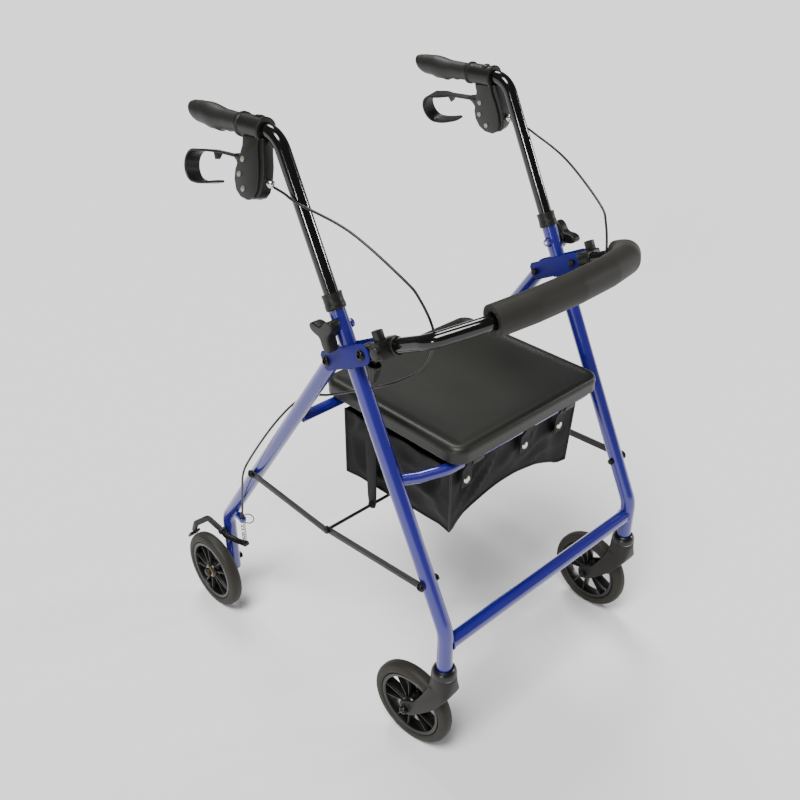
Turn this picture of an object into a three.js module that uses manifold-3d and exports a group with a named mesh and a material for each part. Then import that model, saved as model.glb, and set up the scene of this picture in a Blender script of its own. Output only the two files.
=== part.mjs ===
// Four-wheeled folding walker with a seat, a soft basket and loop brakes.
// Millimetres. +Z is up, -Y is the front, -X is the user's right-hand side.
// The origin is on the floor, under the centre of the walker's box.

import * as THREE from 'three';
import { mergeVertices } from 'three/addons/utils/BufferGeometryUtils.js';
import Module from 'manifold-3d';

const wasm = await Module();
wasm.setup();

// ---------------------------------------------------------------- driving dimensions

const GAP = 0.3; // smallest gap between pieces that rest on each other
const CUT_END = 1; // how far a cutting tool runs past a face
const TOUCH = 0.6; // how deep joined shapes reach into each other

const SIDES = [
  { tag: 'R', sign: -1, casterYaw: THREE.MathUtils.degToRad(6) },
  { tag: 'L', sign: 1, casterYaw: 0 },
];

const FRAME = { tubeR: 12.7, boreR: 11.6, sides: 14 };
const LEG_X = 235; // centre plane of a front leg
const LEG_TILT = THREE.MathUtils.degToRad(26.6); // front leg against the vertical
const BRACKET = { y: -106.3, z: 665 }; // leg centreline between the bracket's plates
const LEG_TOP = 78; // along the leg above the bracket
const LEG_FOOT_Z = 190;
const CASTER_STEM_Y = -304.5;

const WHEEL = { radius: 76, rim: 59, width: 24, bossR: 15, bossWidth: 24, spokes: 10, sides: 28 };
const CASTER_TRAIL = 61;
const REAR_FOOT = { tubeR: 12.4, x: 249, y: 254, bendZ: 182, bottomZ: 57 };
const REAR_WHEEL_X = 292;

const PLATE = { inner: 13, thickness: 3, halfHeight: 15.5, noseR: 16 };
const FOLD_PIVOT = { back: 43.5, up: 0 }; // in the leg's frame, behind its centreline
const BACKREST_PIVOT = { back: -42, up: 1 };

const HANDLE = {
  tubeR: 11.1,
  bend: 38,
  bottom: -80,
  cornerZ: 950,
  endY: 224,
  slope: THREE.MathUtils.degToRad(1.7),
};
const GRIP = { y0: 119, y1: 241 };
const BRAKE_ROLL = THREE.MathUtils.degToRad(13.4); // housing hangs outwards
const LEVER_PIVOT = { y: 93, z: -45 };
const LEVER_LOOP = { y: 215, z: -77, outerR: 25, innerR: 21 };
const KNOB = { up: 43, meanR: 19.5, lobe: 8.5, turn: 1.45, inner: 20, outer: 38 }; // up is along the leg

const SEAT = { halfWidth: 170, y0: -259.6, y1: 50, z0: 507, boardTop: 512, z1: 541, corner: 24 };
const SEAT_TUBE = { radius: 9, z: 497.5, frontY: -233, rearY: 28 };
const CROSS_TUBE = { radius: 12, z: 242 };
const BASKET = { halfWidth: 150, y0: -226, y1: 16, z0: 362, z1: 486, wall: 2.5 };

const BACKREST = { radius: 11, tilt: THREE.MathUtils.degToRad(25), foamR: 23.5, boreR: 12.5 };
const CABLE_R = 2;

const BRACE = {
  front: { y: -266.9, z: 344.4 },
  middle: { y: -56, z: 332 },
  rear: { y: 142, z: 342.6 },
  height: 13,
  thickness: 3,
  frontX: 250,
  middleX: 255,
  rearX: 260.2,
  rodR: 2.75,
};

// ---------------------------------------------------------------- materials

const paint = (name, color, roughness, metalness) =>
  Object.assign(new THREE.MeshStandardMaterial({ color, roughness, metalness }), { name });

const MATERIALS = {
  bluePaint: paint('blue_paint', 0x2a35a8, 0.25, 0.3),
  blackTube: paint('black_tube', 0x121210, 0.15, 0.4),
  blackPlastic: paint('black_plastic', 0x242422, 0.5, 0),
  greyPlastic: paint('grey_plastic', 0x4a4843, 0.5, 0),
  gripRubber: paint('grip_rubber', 0x2b2a26, 0.65, 0),
  foam: paint('foam', 0x5a584f, 0.8, 0),
  vinyl: paint('vinyl', 0x45443e, 0.55, 0),
  nylon: paint('nylon', 0x1b1b1a, 0.8, 0),
  tyre: paint('tyre', 0x55534c, 0.8, 0),
  darkMetal: paint('dark_metal', 0x2c2b28, 0.4, 0.7),
  steel: paint('steel', 0xb0aea6, 0.3, 0.9),
};

// ---------------------------------------------------------------- small geometry tools

const vec = (x, y, z) => new THREE.Vector3(x, y, z);
const shifted = (geometry, x, y, z) => geometry.translate(x, y, z);

function solidOf(geometry) {
  const bare = geometry.clone();
  bare.deleteAttribute('normal');
  bare.deleteAttribute('uv');
  const merged = mergeVertices(bare, 1e-3);
  return new wasm.Manifold(new wasm.Mesh({
    numProp: 3,
    vertProperties: new Float32Array(merged.attributes.position.array),
    triVerts: new Uint32Array(merged.index.array),
  }));
}

function geometryOf(solid) {
  const mesh = solid.getMesh();
  const geometry = new THREE.BufferGeometry();
  geometry.setAttribute('position', new THREE.BufferAttribute(mesh.vertProperties, 3));
  geometry.setIndex(new THREE.BufferAttribute(mesh.triVerts, 1));
  geometry.computeVertexNormals();
  return geometry;
}

const join = (first, ...rest) =>
  geometryOf(rest.reduce((solid, geometry) => solid.add(solidOf(geometry)), solidOf(first)));

const cut = (first, ...tools) =>
  geometryOf(tools.reduce((solid, tool) => solid.subtract(solidOf(tool)), solidOf(first)));

// A box between two corners.
function box(x0, x1, y0, y1, z0, z1) {
  const geometry = new THREE.BoxGeometry(x1 - x0, y1 - y0, z1 - z0);
  return shifted(geometry, (x0 + x1) / 2, (y0 + y1) / 2, (z0 + z1) / 2);
}

// Round bars along each axis, between two coordinates.
const barOf = (radius, length, sides) => new THREE.CylinderGeometry(radius, radius, length, sides);
const barX = (radius, x0, x1, y, z, sides = 12) =>
  shifted(barOf(radius, x1 - x0, sides).rotateZ(Math.PI / 2), (x0 + x1) / 2, y, z);
const barY = (radius, y0, y1, x, z, sides = 12) =>
  shifted(barOf(radius, y1 - y0, sides), x, (y0 + y1) / 2, z);
const barZ = (radius, z0, z1, x, y, sides = 12) =>
  shifted(barOf(radius, z1 - z0, sides).rotateX(Math.PI / 2), x, y, (z0 + z1) / 2);

// A flat plate whose outline lies in the Y-Z plane, from x0 to x1.
function sidePlate(outline, x0, x1) {
  const shape = new THREE.Shape(outline.map(([y, z]) => new THREE.Vector2(y, z)));
  const geometry = new THREE.ExtrudeGeometry(shape, { depth: x1 - x0, bevelEnabled: false });
  const turn = new THREE.Matrix4().makeBasis(vec(0, 1, 0), vec(0, 0, 1), vec(1, 0, 0));
  return geometry.applyMatrix4(turn).translate(x0, 0, 0);
}

// Points of an arc in degrees, for outlines.
function arc(cy, cz, radius, from, to, steps) {
  return Array.from({ length: steps + 1 }, (_, i) => {
    const angle = THREE.MathUtils.degToRad(from + ((to - from) * i) / steps);
    return [cy + radius * Math.cos(angle), cz + radius * Math.sin(angle)];
  });
}

const ARC_STEP = THREE.MathUtils.degToRad(18); // largest turn between two rings of a bent tube

// Straight runs joined by arcs. It has a station only at each end of a run and in the arcs.
class BentPath extends THREE.Curve {
  constructor(corners, bendRadius) {
    super();
    this.stations = [];
    this.tangents = [];
    const last = corners.length - 1;
    corners.forEach((corner, i) => {
      const before = corner.clone().sub(corners[Math.max(i - 1, 0)]).normalize();
      const after = corners[Math.min(i + 1, last)].clone().sub(corner).normalize();
      if (i === 0 || i === last) this.addStation(corner, i === 0 ? after : before);
      else this.addArc(corner, before, after, bendRadius);
    });
  }

  addStation(point, tangent) {
    this.stations.push(point.clone());
    this.tangents.push(tangent.clone());
  }

  addArc(corner, before, after, radius) {
    const turn = before.angleTo(after);
    const steps = Math.ceil(turn / ARC_STEP);
    const reach = radius * Math.tan(turn / 2);
    const start = corner.clone().addScaledVector(before, -reach);
    const inward = after.clone().addScaledVector(before, -before.dot(after)).normalize();
    for (let i = 0; i <= steps; i += 1) {
      const angle = (turn * i) / steps;
      const point = start.clone()
        .addScaledVector(before, radius * Math.sin(angle))
        .addScaledVector(inward, radius * (1 - Math.cos(angle)));
      const tangent = before.clone().multiplyScalar(Math.cos(angle)).addScaledVector(inward, Math.sin(angle));
      this.addStation(point, tangent);
    }
  }

  get steps() {
    return this.stations.length - 1;
  }

  getPoint(t) {
    return this.stations[Math.round(t * this.steps)].clone();
  }

  getPointAt(u) {
    return this.getPoint(u);
  }

  getTangentAt(u) {
    return this.tangents[Math.round(u * this.steps)].clone();
  }
}

const ring = (radius, sides) => Array.from({ length: sides }, (_, i) => {
  const angle = (2 * Math.PI * i) / sides;
  return new THREE.Vector2(radius * Math.cos(angle), radius * Math.sin(angle));
});

const BORE_SIDES = 8; // sides of a bore that nothing slides in

// A round section swept along a path, hollow when it has a bore.
function sweep(path, radius, boreR = 0, sides = FRAME.sides, steps = path.steps) {
  const shape = new THREE.Shape(ring(radius, sides));
  if (boreR > 0) shape.holes.push(new THREE.Path(ring(boreR, BORE_SIDES)));
  return new THREE.ExtrudeGeometry(shape, { steps, extrudePath: path, bevelEnabled: false });
}

const namedMesh = (name, geometry, material) => {
  const mesh = new THREE.Mesh(geometry, material);
  mesh.name = name;
  return mesh;
};

// The leg's own frame has +Z up along the leg and +Y square to it, towards the rear.
const LEG_FRAME = new THREE.Matrix4().makeRotationX(-LEG_TILT)
  .setPosition(0, BRACKET.y, BRACKET.z);
const onLeg = (back, up, x = 0) => vec(x, back, up).applyMatrix4(LEG_FRAME);
const inLegFrame = (geometry) => geometry.applyMatrix4(LEG_FRAME);

// Height along the leg at which its centreline reaches a given height above the floor.
const alongLegAt = (z) => (z - BRACKET.z) / Math.cos(LEG_TILT);

// ---------------------------------------------------------------- front frame

function frontLegPath(extra = 0) {
  const kneeUp = (CASTER_STEM_Y - BRACKET.y) / Math.sin(LEG_TILT);
  const knee = onLeg(0, kneeUp);
  return new BentPath([
    onLeg(0, LEG_TOP + extra),
    knee,
    vec(0, CASTER_STEM_Y, LEG_FOOT_Z - extra),
  ], 60);
}

function bracketOutline() {
  const { halfHeight, noseR } = PLATE;
  const nose = arc(BACKREST_PIVOT.back - 1, BACKREST_PIVOT.up, noseR, 90, 270, 8);
  const chamfer = 5;
  const tail = 54;
  return [
    ...nose,
    [tail - chamfer, -halfHeight],
    [tail, -halfHeight + chamfer],
    [tail, halfHeight - chamfer],
    [tail - chamfer, halfHeight],
  ];
}

// A front leg with its welded bracket plates, weld nut and socket bore.
function frontLeg(sign) {
  const { inner, thickness } = PLATE;
  const tube = sweep(frontLegPath(), FRAME.tubeR);
  const outer = inLegFrame(sidePlate(bracketOutline(), inner, inner + thickness));
  const innerPlate = inLegFrame(sidePlate(bracketOutline(), -inner - thickness, -inner));
  const weld = inLegFrame(barX(9, -inner - TOUCH, inner + TOUCH, 0, 0));
  const nutLow = Math.min(-sign * 18, -sign * 10);
  const nut = inLegFrame(barX(6.5, nutLow, nutLow + 8, 0, KNOB.up, 6));
  const bore = sweep(frontLegPath(CUT_END), FRAME.boreR);
  const holes = [FOLD_PIVOT, BACKREST_PIVOT].map(({ back, up }) =>
    inLegFrame(barX(4.7, -20, 20, back, up)));
  const studLow = Math.min(sign * 5, sign * 20);
  const studHole = inLegFrame(barX(4.7, studLow, studLow + 15, 0, KNOB.up));
  const braceHole = barX(4.2, -20, 20, BRACE.front.y, BRACE.front.z);
  return cut(join(tube, outer, innerPlate, weld, nut), bore, studHole, braceHole, ...holes);
}

// Tubes that end on the legs are trimmed to the legs' outside.
const legTrimmer = (sign) => shifted(sweep(frontLegPath(CUT_END), FRAME.tubeR + GAP), sign * LEG_X, 0, 0);

function crossTube() {
  const path = new BentPath([
    vec(-LEG_X, CASTER_STEM_Y, CROSS_TUBE.z),
    vec(LEG_X, CASTER_STEM_Y, CROSS_TUBE.z),
  ], 1);
  const tube = sweep(path, CROSS_TUBE.radius, CROSS_TUBE.radius - 1.5);
  return cut(tube, legTrimmer(-1), legTrimmer(1));
}

const FRONT_SEAT_END = onLeg(0, alongLegAt(489));

function frontSeatTube() {
  const half = [
    vec(LEG_X, FRONT_SEAT_END.y, 489),
    vec(203, -211, 490.5),
    vec(162, SEAT_TUBE.frontY, SEAT_TUBE.z),
  ];
  const mirrored = half.map((p) => vec(-p.x, p.y, p.z)).reverse();
  const path = new BentPath([...half, ...mirrored], 34);
  const tube = sweep(path, SEAT_TUBE.radius, SEAT_TUBE.radius - 1.5, 12);
  return cut(tube, legTrimmer(-1), legTrimmer(1));
}

// Plastic bush on top of the leg, which guides the handle tube.
function collar() {
  const outside = inLegFrame(barZ(15.3, 68, 92, 0, 0));
  const overLeg = inLegFrame(barZ(13.4, 60, LEG_TOP + GAP, 0, 0));
  const guide = inLegFrame(barZ(FRAME.boreR, 60, 100, 0, 0));
  return cut(outside, overLeg, guide);
}

// A bolt through both plates, with a domed head outside and a nut inside.
function bracketBolt(sign, { back, up }) {
  const face = PLATE.inner + PLATE.thickness + GAP;
  const shank = barX(3.9, -face - 1, face + 1, back, up, 12);
  const head = barX(7, face, face + 4.5, back, up, 12);
  const nut = barX(6.5, -face - 5.5, -face, back, up, 6);
  const bolt = join(shank, head, nut);
  return inLegFrame(sign > 0 ? bolt : bolt.rotateY(Math.PI).translate(0, 0, 2 * up));
}

// A bolt through a leg that holds one end of a folding brace.
function braceBolt(sign, { y, z }, legX, barX1) {
  const outer = barX1 - legX + BRACE.thickness / 2 + 1;
  const inner = FRAME.tubeR + GAP;
  const bolt = join(
    barX(3.4, -inner - 1, outer + 1, 0, 0, 12),
    barX(6.5, outer, outer + 4, 0, 0, 12),
    barX(6, -inner - 5, -inner, 0, 0, 6),
  );
  return shifted(sign > 0 ? bolt : bolt.rotateY(Math.PI), 0, y, z);
}

// ---------------------------------------------------------------- casters and wheels

function tyre(radius, width) {
  const half = width / 2;
  const crown = 5;
  const profile = [
    [WHEEL.rim, -half + 2],
    [WHEEL.rim + 3, -half],
    [radius - crown, -half],
    [radius, -half + crown],
    [radius, half - crown],
    [radius - crown, half],
    [WHEEL.rim + 3, half],
    [WHEEL.rim, half - 2],
    [WHEEL.rim, -half + 2],
  ].map(([r, h]) => new THREE.Vector2(r, h));
  return new THREE.LatheGeometry(profile, WHEEL.sides).rotateZ(Math.PI / 2);
}

// Rim, boss and paired straight spokes.
function wheelHub() {
  const rimR = WHEEL.rim - GAP;
  const half = WHEEL.width / 2 - 2;
  const rim = new THREE.LatheGeometry([
    [rimR - 6, -half],
    [rimR, -half],
    [rimR, half],
    [rimR - 6, half],
    [rimR - 6, -half],
  ].map(([r, h]) => new THREE.Vector2(r, h)), WHEEL.sides).rotateZ(Math.PI / 2);
  const boss = barX(WHEEL.bossR, -WHEEL.bossWidth / 2, WHEEL.bossWidth / 2, 0, 0);
  const spokes = Array.from({ length: WHEEL.spokes }, (_, i) => {
    const pair = Math.floor(i / 2) * ((4 * Math.PI) / WHEEL.spokes);
    const lean = (i % 2 === 0 ? -1 : 1) * THREE.MathUtils.degToRad(11);
    const spoke = box(-4, 4, -2, 2, WHEEL.bossR - 4, rimR - 3);
    return spoke.rotateX(lean / 3).rotateX(pair + lean);
  });
  return cut(join(rim, boss, ...spokes), barX(4.6, -20, 20, 0, 0, 12));
}

// Fork with its dust cap and swivel stem. Its own origin is on the floor under the stem.
function casterFork() {
  const arm = [
    [-20, 180],
    [-20, 150],
    [4, 112],
    [CASTER_TRAIL - 13, 66],
    ...arc(CASTER_TRAIL, WHEEL.radius, 13, 225, 405, 6),
    [CASTER_TRAIL - 22, 112],
    [20, 152],
    [20, 180],
  ];
  const cheeks = [-1, 1].map((s) => sidePlate(arm, Math.min(s * 14.5, s * 20), Math.max(s * 14.5, s * 20)));
  const crown = barZ(20.2, 148, 184, 0, 0, 20);
  const cap = barZ(20.5, 181, 197, 0, 0, 20);
  const legRecess = barZ(14, LEG_FOOT_Z - GAP, 200, 0, 0, 20);
  const stem = barZ(5.5, 185, 236, 0, 0, 12);
  const wheelRoom = barX(WHEEL.radius + 4, -14.5, 14.5, CASTER_TRAIL, WHEEL.radius, 24);
  const axleHole = barX(4.5, -30, 30, CASTER_TRAIL, WHEEL.radius);
  return join(cut(join(...cheeks, crown, cap), legRecess, wheelRoom, axleHole), stem);
}

function casterAxle() {
  return join(
    barX(3.9, -21.3, 21.3, 0, 0, 12),
    barX(7.5, 20.3, 29, 0, 0, 16),
    barX(7.5, -29, -20.3, 0, 0, 16),
  );
}

function caster({ tag, sign, casterYaw }) {
  const swivel = new THREE.Group();
  swivel.position.set(sign * LEG_X, CASTER_STEM_Y, 0);
  swivel.rotation.z = casterYaw;
  swivel.add(namedMesh(`caster_fork_${tag}`, casterFork(), MATERIALS.greyPlastic));
  const wheel = new THREE.Group();
  wheel.position.set(0, CASTER_TRAIL, WHEEL.radius);
  wheel.add(namedMesh(`caster_hub_${tag}`, wheelHub(), MATERIALS.blackPlastic));
  wheel.add(namedMesh(`caster_tyre_${tag}`, tyre(WHEEL.radius, WHEEL.width), MATERIALS.tyre));
  wheel.add(namedMesh(`caster_axle_${tag}`, casterAxle(), MATERIALS.darkMetal));
  swivel.add(wheel);
  return swivel;
}

// ---------------------------------------------------------------- rear frame

const FOLD_POINT = onLeg(FOLD_PIVOT.back, FOLD_PIVOT.up);
const rearKnee = (sign) => vec(sign * REAR_FOOT.x, REAR_FOOT.y, REAR_FOOT.bendZ);
const rearTop = (sign) => vec(sign * LEG_X, FOLD_POINT.y, FOLD_POINT.z);

function rearLegPath(sign, extra = 0) {
  const top = rearTop(sign);
  const knee = rearKnee(sign);
  const rise = top.clone().sub(knee).normalize();
  const shoulder = 12;
  return new BentPath([
    top.addScaledVector(rise, shoulder + extra),
    knee,
    vec(sign * REAR_FOOT.x, REAR_FOOT.y, REAR_FOOT.bottomZ - extra),
  ], 40);
}

// X of a rear leg's centreline at a height above its knee.
function rearLegX(z) {
  const share = (z - REAR_FOOT.bendZ) / (FOLD_POINT.z - REAR_FOOT.bendZ);
  return REAR_FOOT.x + (LEG_X - REAR_FOOT.x) * share;
}

const BRAKE_POST = { x: 252, y: 202, lugZ: 200, lugTop: 207 };
const BRAKE_PIVOT = { y: 250, z: 158 };

// A rear leg with the lug that stops the brake cable.
function rearLeg(sign) {
  const tube = sweep(rearLegPath(sign), REAR_FOOT.tubeR, REAR_FOOT.tubeR - 1.4);
  const lug = box(-5, 5, BRAKE_POST.y - 6, BRAKE_POST.y + 24, BRAKE_POST.lugZ, BRAKE_POST.lugTop)
    .translate(sign * BRAKE_POST.x, 0, 0);
  const wireHole = barZ(2.2, 190, 215, sign * BRAKE_POST.x, BRAKE_POST.y, 12);
  const across = (radius, y, z) => barX(radius, -30, 30, y, z).translate(sign * LEG_X, 0, 0);
  const boltHole = across(4.7, FOLD_POINT.y, FOLD_POINT.z);
  const axleHole = across(4.7, REAR_FOOT.y, WHEEL.radius);
  const braceHole = across(4.2, BRACE.rear.y, BRACE.rear.z);
  return cut(join(tube, lug), wireHole, boltHole, axleHole, braceHole);
}

function rearSeatTube() {
  const endX = rearLegX(SEAT_TUBE.z);
  const path = new BentPath([
    vec(-endX, SEAT_TUBE.rearY, SEAT_TUBE.z),
    vec(endX, SEAT_TUBE.rearY, SEAT_TUBE.z),
  ], 1);
  const tube = sweep(path, SEAT_TUBE.radius, SEAT_TUBE.radius - 1.5, 12);
  const trimmers = [-1, 1].map((s) => sweep(rearLegPath(s), FRAME.tubeR + GAP));
  return cut(tube, ...trimmers);
}

// Stub axle with its spacer and cap; +X is outwards before it is mirrored.
function rearAxle(sign) {
  const legOut = REAR_FOOT.x + FRAME.tubeR + GAP;
  const hubIn = REAR_WHEEL_X - WHEEL.bossWidth / 2 - GAP;
  const hubOut = REAR_WHEEL_X + WHEEL.bossWidth / 2 + GAP;
  const legIn = REAR_FOOT.x - FRAME.tubeR - GAP;
  const axle = join(
    barX(3.9, legIn - 1, hubOut + 1, 0, 0, 12),
    barX(8, legOut, hubIn, 0, 0),
    barX(8.5, hubOut, hubOut + 9, 0, 0),
    barX(7, legIn - 5, legIn, 0, 0, 6),
  );
  return shifted(sign > 0 ? axle : axle.rotateY(Math.PI), 0, REAR_FOOT.y, WHEEL.radius);
}

function rearWheel({ tag, sign }) {
  const wheel = new THREE.Group();
  wheel.position.set(sign * REAR_WHEEL_X, REAR_FOOT.y, WHEEL.radius);
  wheel.add(namedMesh(`rear_hub_${tag}`, wheelHub(), MATERIALS.blackPlastic));
  wheel.add(namedMesh(`rear_tyre_${tag}`, tyre(WHEEL.radius, WHEEL.width), MATERIALS.tyre));
  return wheel;
}

// ---------------------------------------------------------------- brake at the wheel

const MIRROR_X = new THREE.Matrix4().makeScale(-1, 1, 1);

// Bent arm from the cable's clevis, past its pin on the leg, to the shoe over the tyre.
function brakeArm(sign) {
  const path = new BentPath([
    vec(sign * BRAKE_POST.x, BRAKE_POST.y - 3, 146),
    vec(sign * 258, 218, 146),
    vec(sign * 269, BRAKE_PIVOT.y - 8, 152),
    vec(sign * 271, BRAKE_PIVOT.y + 6, 161),
    vec(sign * 279, 281, 176),
    vec(sign * 291, 308, 154),
    vec(sign * REAR_WHEEL_X, 318, 130),
  ], 6);
  const strip = sweep(path, 4.6, 0, 8);
  const pinEnd = REAR_FOOT.x + FRAME.tubeR + 2 * GAP;
  const pin = barX(5.5, pinEnd, 275, BRAKE_PIVOT.y, BRAKE_PIVOT.z, 12);
  const shoe = box(-11, 11, -9, 9, -2.5, 2.5).rotateX(-THREE.MathUtils.degToRad(52))
    .translate(REAR_WHEEL_X, 318.2, 126);
  const mirrored = (geometry) => (sign > 0 ? geometry : geometry.applyMatrix4(MIRROR_X));
  return join(strip, flipped(mirrored(pin), sign), flipped(mirrored(shoe), sign));
}

// Turns the faces of a mirrored shape outwards again.
function flipped(geometry, sign) {
  if (sign > 0) return geometry;
  const index = geometry.index.array;
  for (let i = 0; i < index.length; i += 3) {
    [index[i], index[i + 1]] = [index[i + 1], index[i]];
  }
  return geometry;
}

function brakeSpring(sign) {
  const coil = barZ(4.5, 152, BRAKE_POST.lugZ - GAP, 0, 0, 12);
  const bore = barZ(3, 150, 205, 0, 0, 12);
  return shifted(cut(coil, bore), sign * BRAKE_POST.x, BRAKE_POST.y, 0);
}

// ---------------------------------------------------------------- handles and brake levers

const HANDLE_CORNER = onLeg(0, alongLegAt(HANDLE.cornerZ));
const handleZ = (y) => HANDLE.cornerZ - (y - HANDLE_CORNER.y) * Math.tan(HANDLE.slope);

function handleTube() {
  const path = new BentPath([
    onLeg(0, HANDLE.bottom),
    HANDLE_CORNER,
    vec(0, HANDLE.endY, handleZ(HANDLE.endY)),
  ], HANDLE.bend);
  return sweep(path, HANDLE.tubeR, HANDLE.tubeR - 1.3);
}

function handGrip() {
  const length = GRIP.y1 - GRIP.y0;
  const boreR = HANDLE.tubeR + GAP;
  const profile = [
    [0, length],
    [15, length],
    [18, length - 8],
    [17.5, length - 26],
    [15, length - 60],
    [14, 8],
    [15, 0],
    [boreR, 0],
    [boreR, length - 7],
    [0, length - 7],
  ].map(([r, h]) => new THREE.Vector2(r, h)).reverse();
  return new THREE.LatheGeometry(profile, 16)
    .translate(0, GRIP.y0, 0)
    .rotateX(-HANDLE.slope)
    .translate(0, 0, handleZ(0));
}

// Housing that clamps the tube and holds the lever; local origin on the tube's axis at y = 0.
function brakeHousing() {
  const body = sidePlate([
    [56, -12],
    [48, -38],
    [46, -70],
    [52, -88],
    [70, -98],
    [92, -96],
    [106, -84],
    [110, -64],
    [103, -44],
    [92, -12],
  ], -13, 13);
  const clamp = barY(16.5, 63, 117, 0, 0);
  const bolts = [[97.7, -66.5], [85.4, -85]].map(([y, z]) => barX(4.2, -15, 15, y, z));
  const leverPin = barX(4.1, -15, 15, LEVER_PIVOT.y, LEVER_PIVOT.z);
  const adjuster = barY(5, 35, 48, 0, -69, 12);
  const tubeRoom = barY(FRAME.boreR, 40, 130, 0, 0);
  const bendRoom = barY(14, 44, 63, 0, -1);
  const leverSlot = box(-5.5, 5.5, 76, 130, -64, -30);
  const shell = cut(join(body, clamp, ...bolts, adjuster), tubeRoom, bendRoom, leverSlot);
  return join(shell, leverPin);
}

// Lever: a tang in the housing, a narrow bar and a wide hooked loop.
function brakeLever() {
  const tang = sidePlate([
    [86, -38],
    [118, -42],
    [118, -50],
    [100, -57],
    [86, -52],
  ], -4.2, 4.2);
  const outerEdge = [[114, -42], [163, -45], [190, -48.5]];
  const innerEdge = [[190, -52.5], [163, -50], [114, -50]];
  const bar = sidePlate([...outerEdge, ...innerEdge], -6, 6);
  const { y, z, outerR, innerR } = LEVER_LOOP;
  const loopOut = arc(y, z, outerR, 75, -95, 10);
  const loopIn = arc(y, z, innerR, -95, 75, 10);
  const hook = sidePlate([
    [180, -47],
    ...loopOut,
    [190, -99.5],
    [161, -92],
    [162, -88],
    [191, -95.5],
    ...loopIn,
    [180, -51],
  ], -13, 13);
  const pivotHole = barX(4.6, -10, 10, LEVER_PIVOT.y, LEVER_PIVOT.z);
  return cut(join(tang, bar, hook), pivotHole);
}

// ---------------------------------------------------------------- knobs

const HINGE_POINT = onLeg(BACKREST_PIVOT.back, BACKREST_PIVOT.up);

// Three-lobed height knob; +X is outwards before it is turned to its side.
function heightKnob(sign) {
  const lobes = Array.from({ length: 30 }, (_, i) => {
    const angle = (2 * Math.PI * i) / 30;
    const radius = KNOB.meanR + KNOB.lobe * Math.cos(3 * angle);
    return [radius * Math.cos(angle + KNOB.turn), radius * Math.sin(angle + KNOB.turn)];
  });
  const head = sidePlate(lobes, KNOB.inner, KNOB.outer);
  const neck = barX(9, 15, KNOB.inner + 1, 0, 0);
  const stud = barX(4, FRAME.boreR + GAP, 16, 0, 0, 12);
  const knob = join(head, neck, stud);
  return inLegFrame(shifted(sign > 0 ? knob : knob.rotateY(Math.PI), 0, 0, KNOB.up));
}

// The thumb screw's frame has its head's top at the origin and +Z up along the screw.
const WING = { height: 33, studR: 3, studLength: 16, lean: THREE.MathUtils.degToRad(12) };
const WING_FRAME = new THREE.Matrix4().makeRotationX(WING.lean)
  .setPosition(0, HINGE_POINT.y - 13, HINGE_POINT.z - 16);

// Fluted thumb screw under the backrest's hinge block.
function wingKnob() {
  const flutes = Array.from({ length: 32 }, (_, i) => {
    const angle = (2 * Math.PI * i) / 32;
    const radius = 1 + 0.09 * Math.cos(8 * angle);
    return new THREE.Vector2(radius * Math.cos(angle), radius * Math.sin(angle));
  });
  const geometry = new THREE.ExtrudeGeometry(new THREE.Shape(flutes), { depth: 1, bevelEnabled: false });
  const position = geometry.attributes.position;
  for (let i = 0; i < position.count; i += 1) {
    const width = 6.5 + 3.2 * position.getZ(i);
    position.setXY(i, position.getX(i) * width, position.getY(i) * width);
  }
  geometry.scale(1, 1, WING.height).translate(0, 0, -WING.height);
  const stud = barZ(WING.studR, -TOUCH, WING.studLength, 0, 0);
  return join(geometry, stud).applyMatrix4(WING_FRAME);
}

// ---------------------------------------------------------------- backrest

// The backrest's plane runs forwards and up from its hinge.
const BACKREST_FRAME = new THREE.Matrix4().makeBasis(
  vec(1, 0, 0),
  vec(0, -Math.cos(BACKREST.tilt), Math.sin(BACKREST.tilt)),
  vec(0, -Math.sin(BACKREST.tilt), -Math.cos(BACKREST.tilt)),
).setPosition(0, HINGE_POINT.y, HINGE_POINT.z);

// Half of the bar's centreline: sideways and forwards of the hinge.
const BACKREST_HALF = [[218, 26], [218, 110], [158, 152], [82, 174], [0, 181]];

function backrestPath(corners) {
  return new BentPath(corners.map(([x, y]) => vec(x, y, 0).applyMatrix4(BACKREST_FRAME)), 30);
}

function backrestTube() {
  const far = BACKREST_HALF.slice(0, -1).reverse();
  const near = BACKREST_HALF.map(([x, y]) => [-x, y]);
  return sweep(backrestPath([...near, ...far]), BACKREST.radius, BACKREST.radius - 1.5, 12);
}

// The sleeve sits off centre, so it wraps round the bend on the left.
function backrestFoam() {
  const path = backrestPath([
    [-143, 156.3],
    [-82, 174],
    [0, 181],
    [82, 174],
    [158, 152],
    [218, 110],
    [218, 92],
  ]);
  return sweep(path, BACKREST.foamR, BACKREST.boreR, 14);
}

// Hinge block between the plates, carrying the tube's socket, tab and button.
function backrestSocket(sign) {
  const lug = barX(12.5, -12.6, 12.6, 0, 0);
  const neck = box(-12.4, 12.4, 0, 24, -11, 11);
  const body = box(-12, 26, 18.5, 40, -14, 13);
  const tab = box(-6, 6, 24, 38, -29, -12);
  const button = barX(9, -16, -11, 30, 1);
  const ferrule = barY(13.6, 38, 45, 17, 0);
  const bore = barY(BACKREST.radius + 2 * GAP, 24, 60, 17, 0);
  const boltHole = barX(4.7, -20, 20, 0, 0);
  const block = cut(join(lug, neck, body, tab, button, ferrule), bore, boltHole);
  const placed = sign < 0 ? block : flipped(block.applyMatrix4(MIRROR_X), -1);
  const studHole = barZ(WING.studR + 2 * GAP, -2, WING.studLength + CUT_END, 0, 0).applyMatrix4(WING_FRAME);
  return cut(placed.applyMatrix4(BACKREST_FRAME), studHole);
}

// ---------------------------------------------------------------- seat, basket and folding braces

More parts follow.
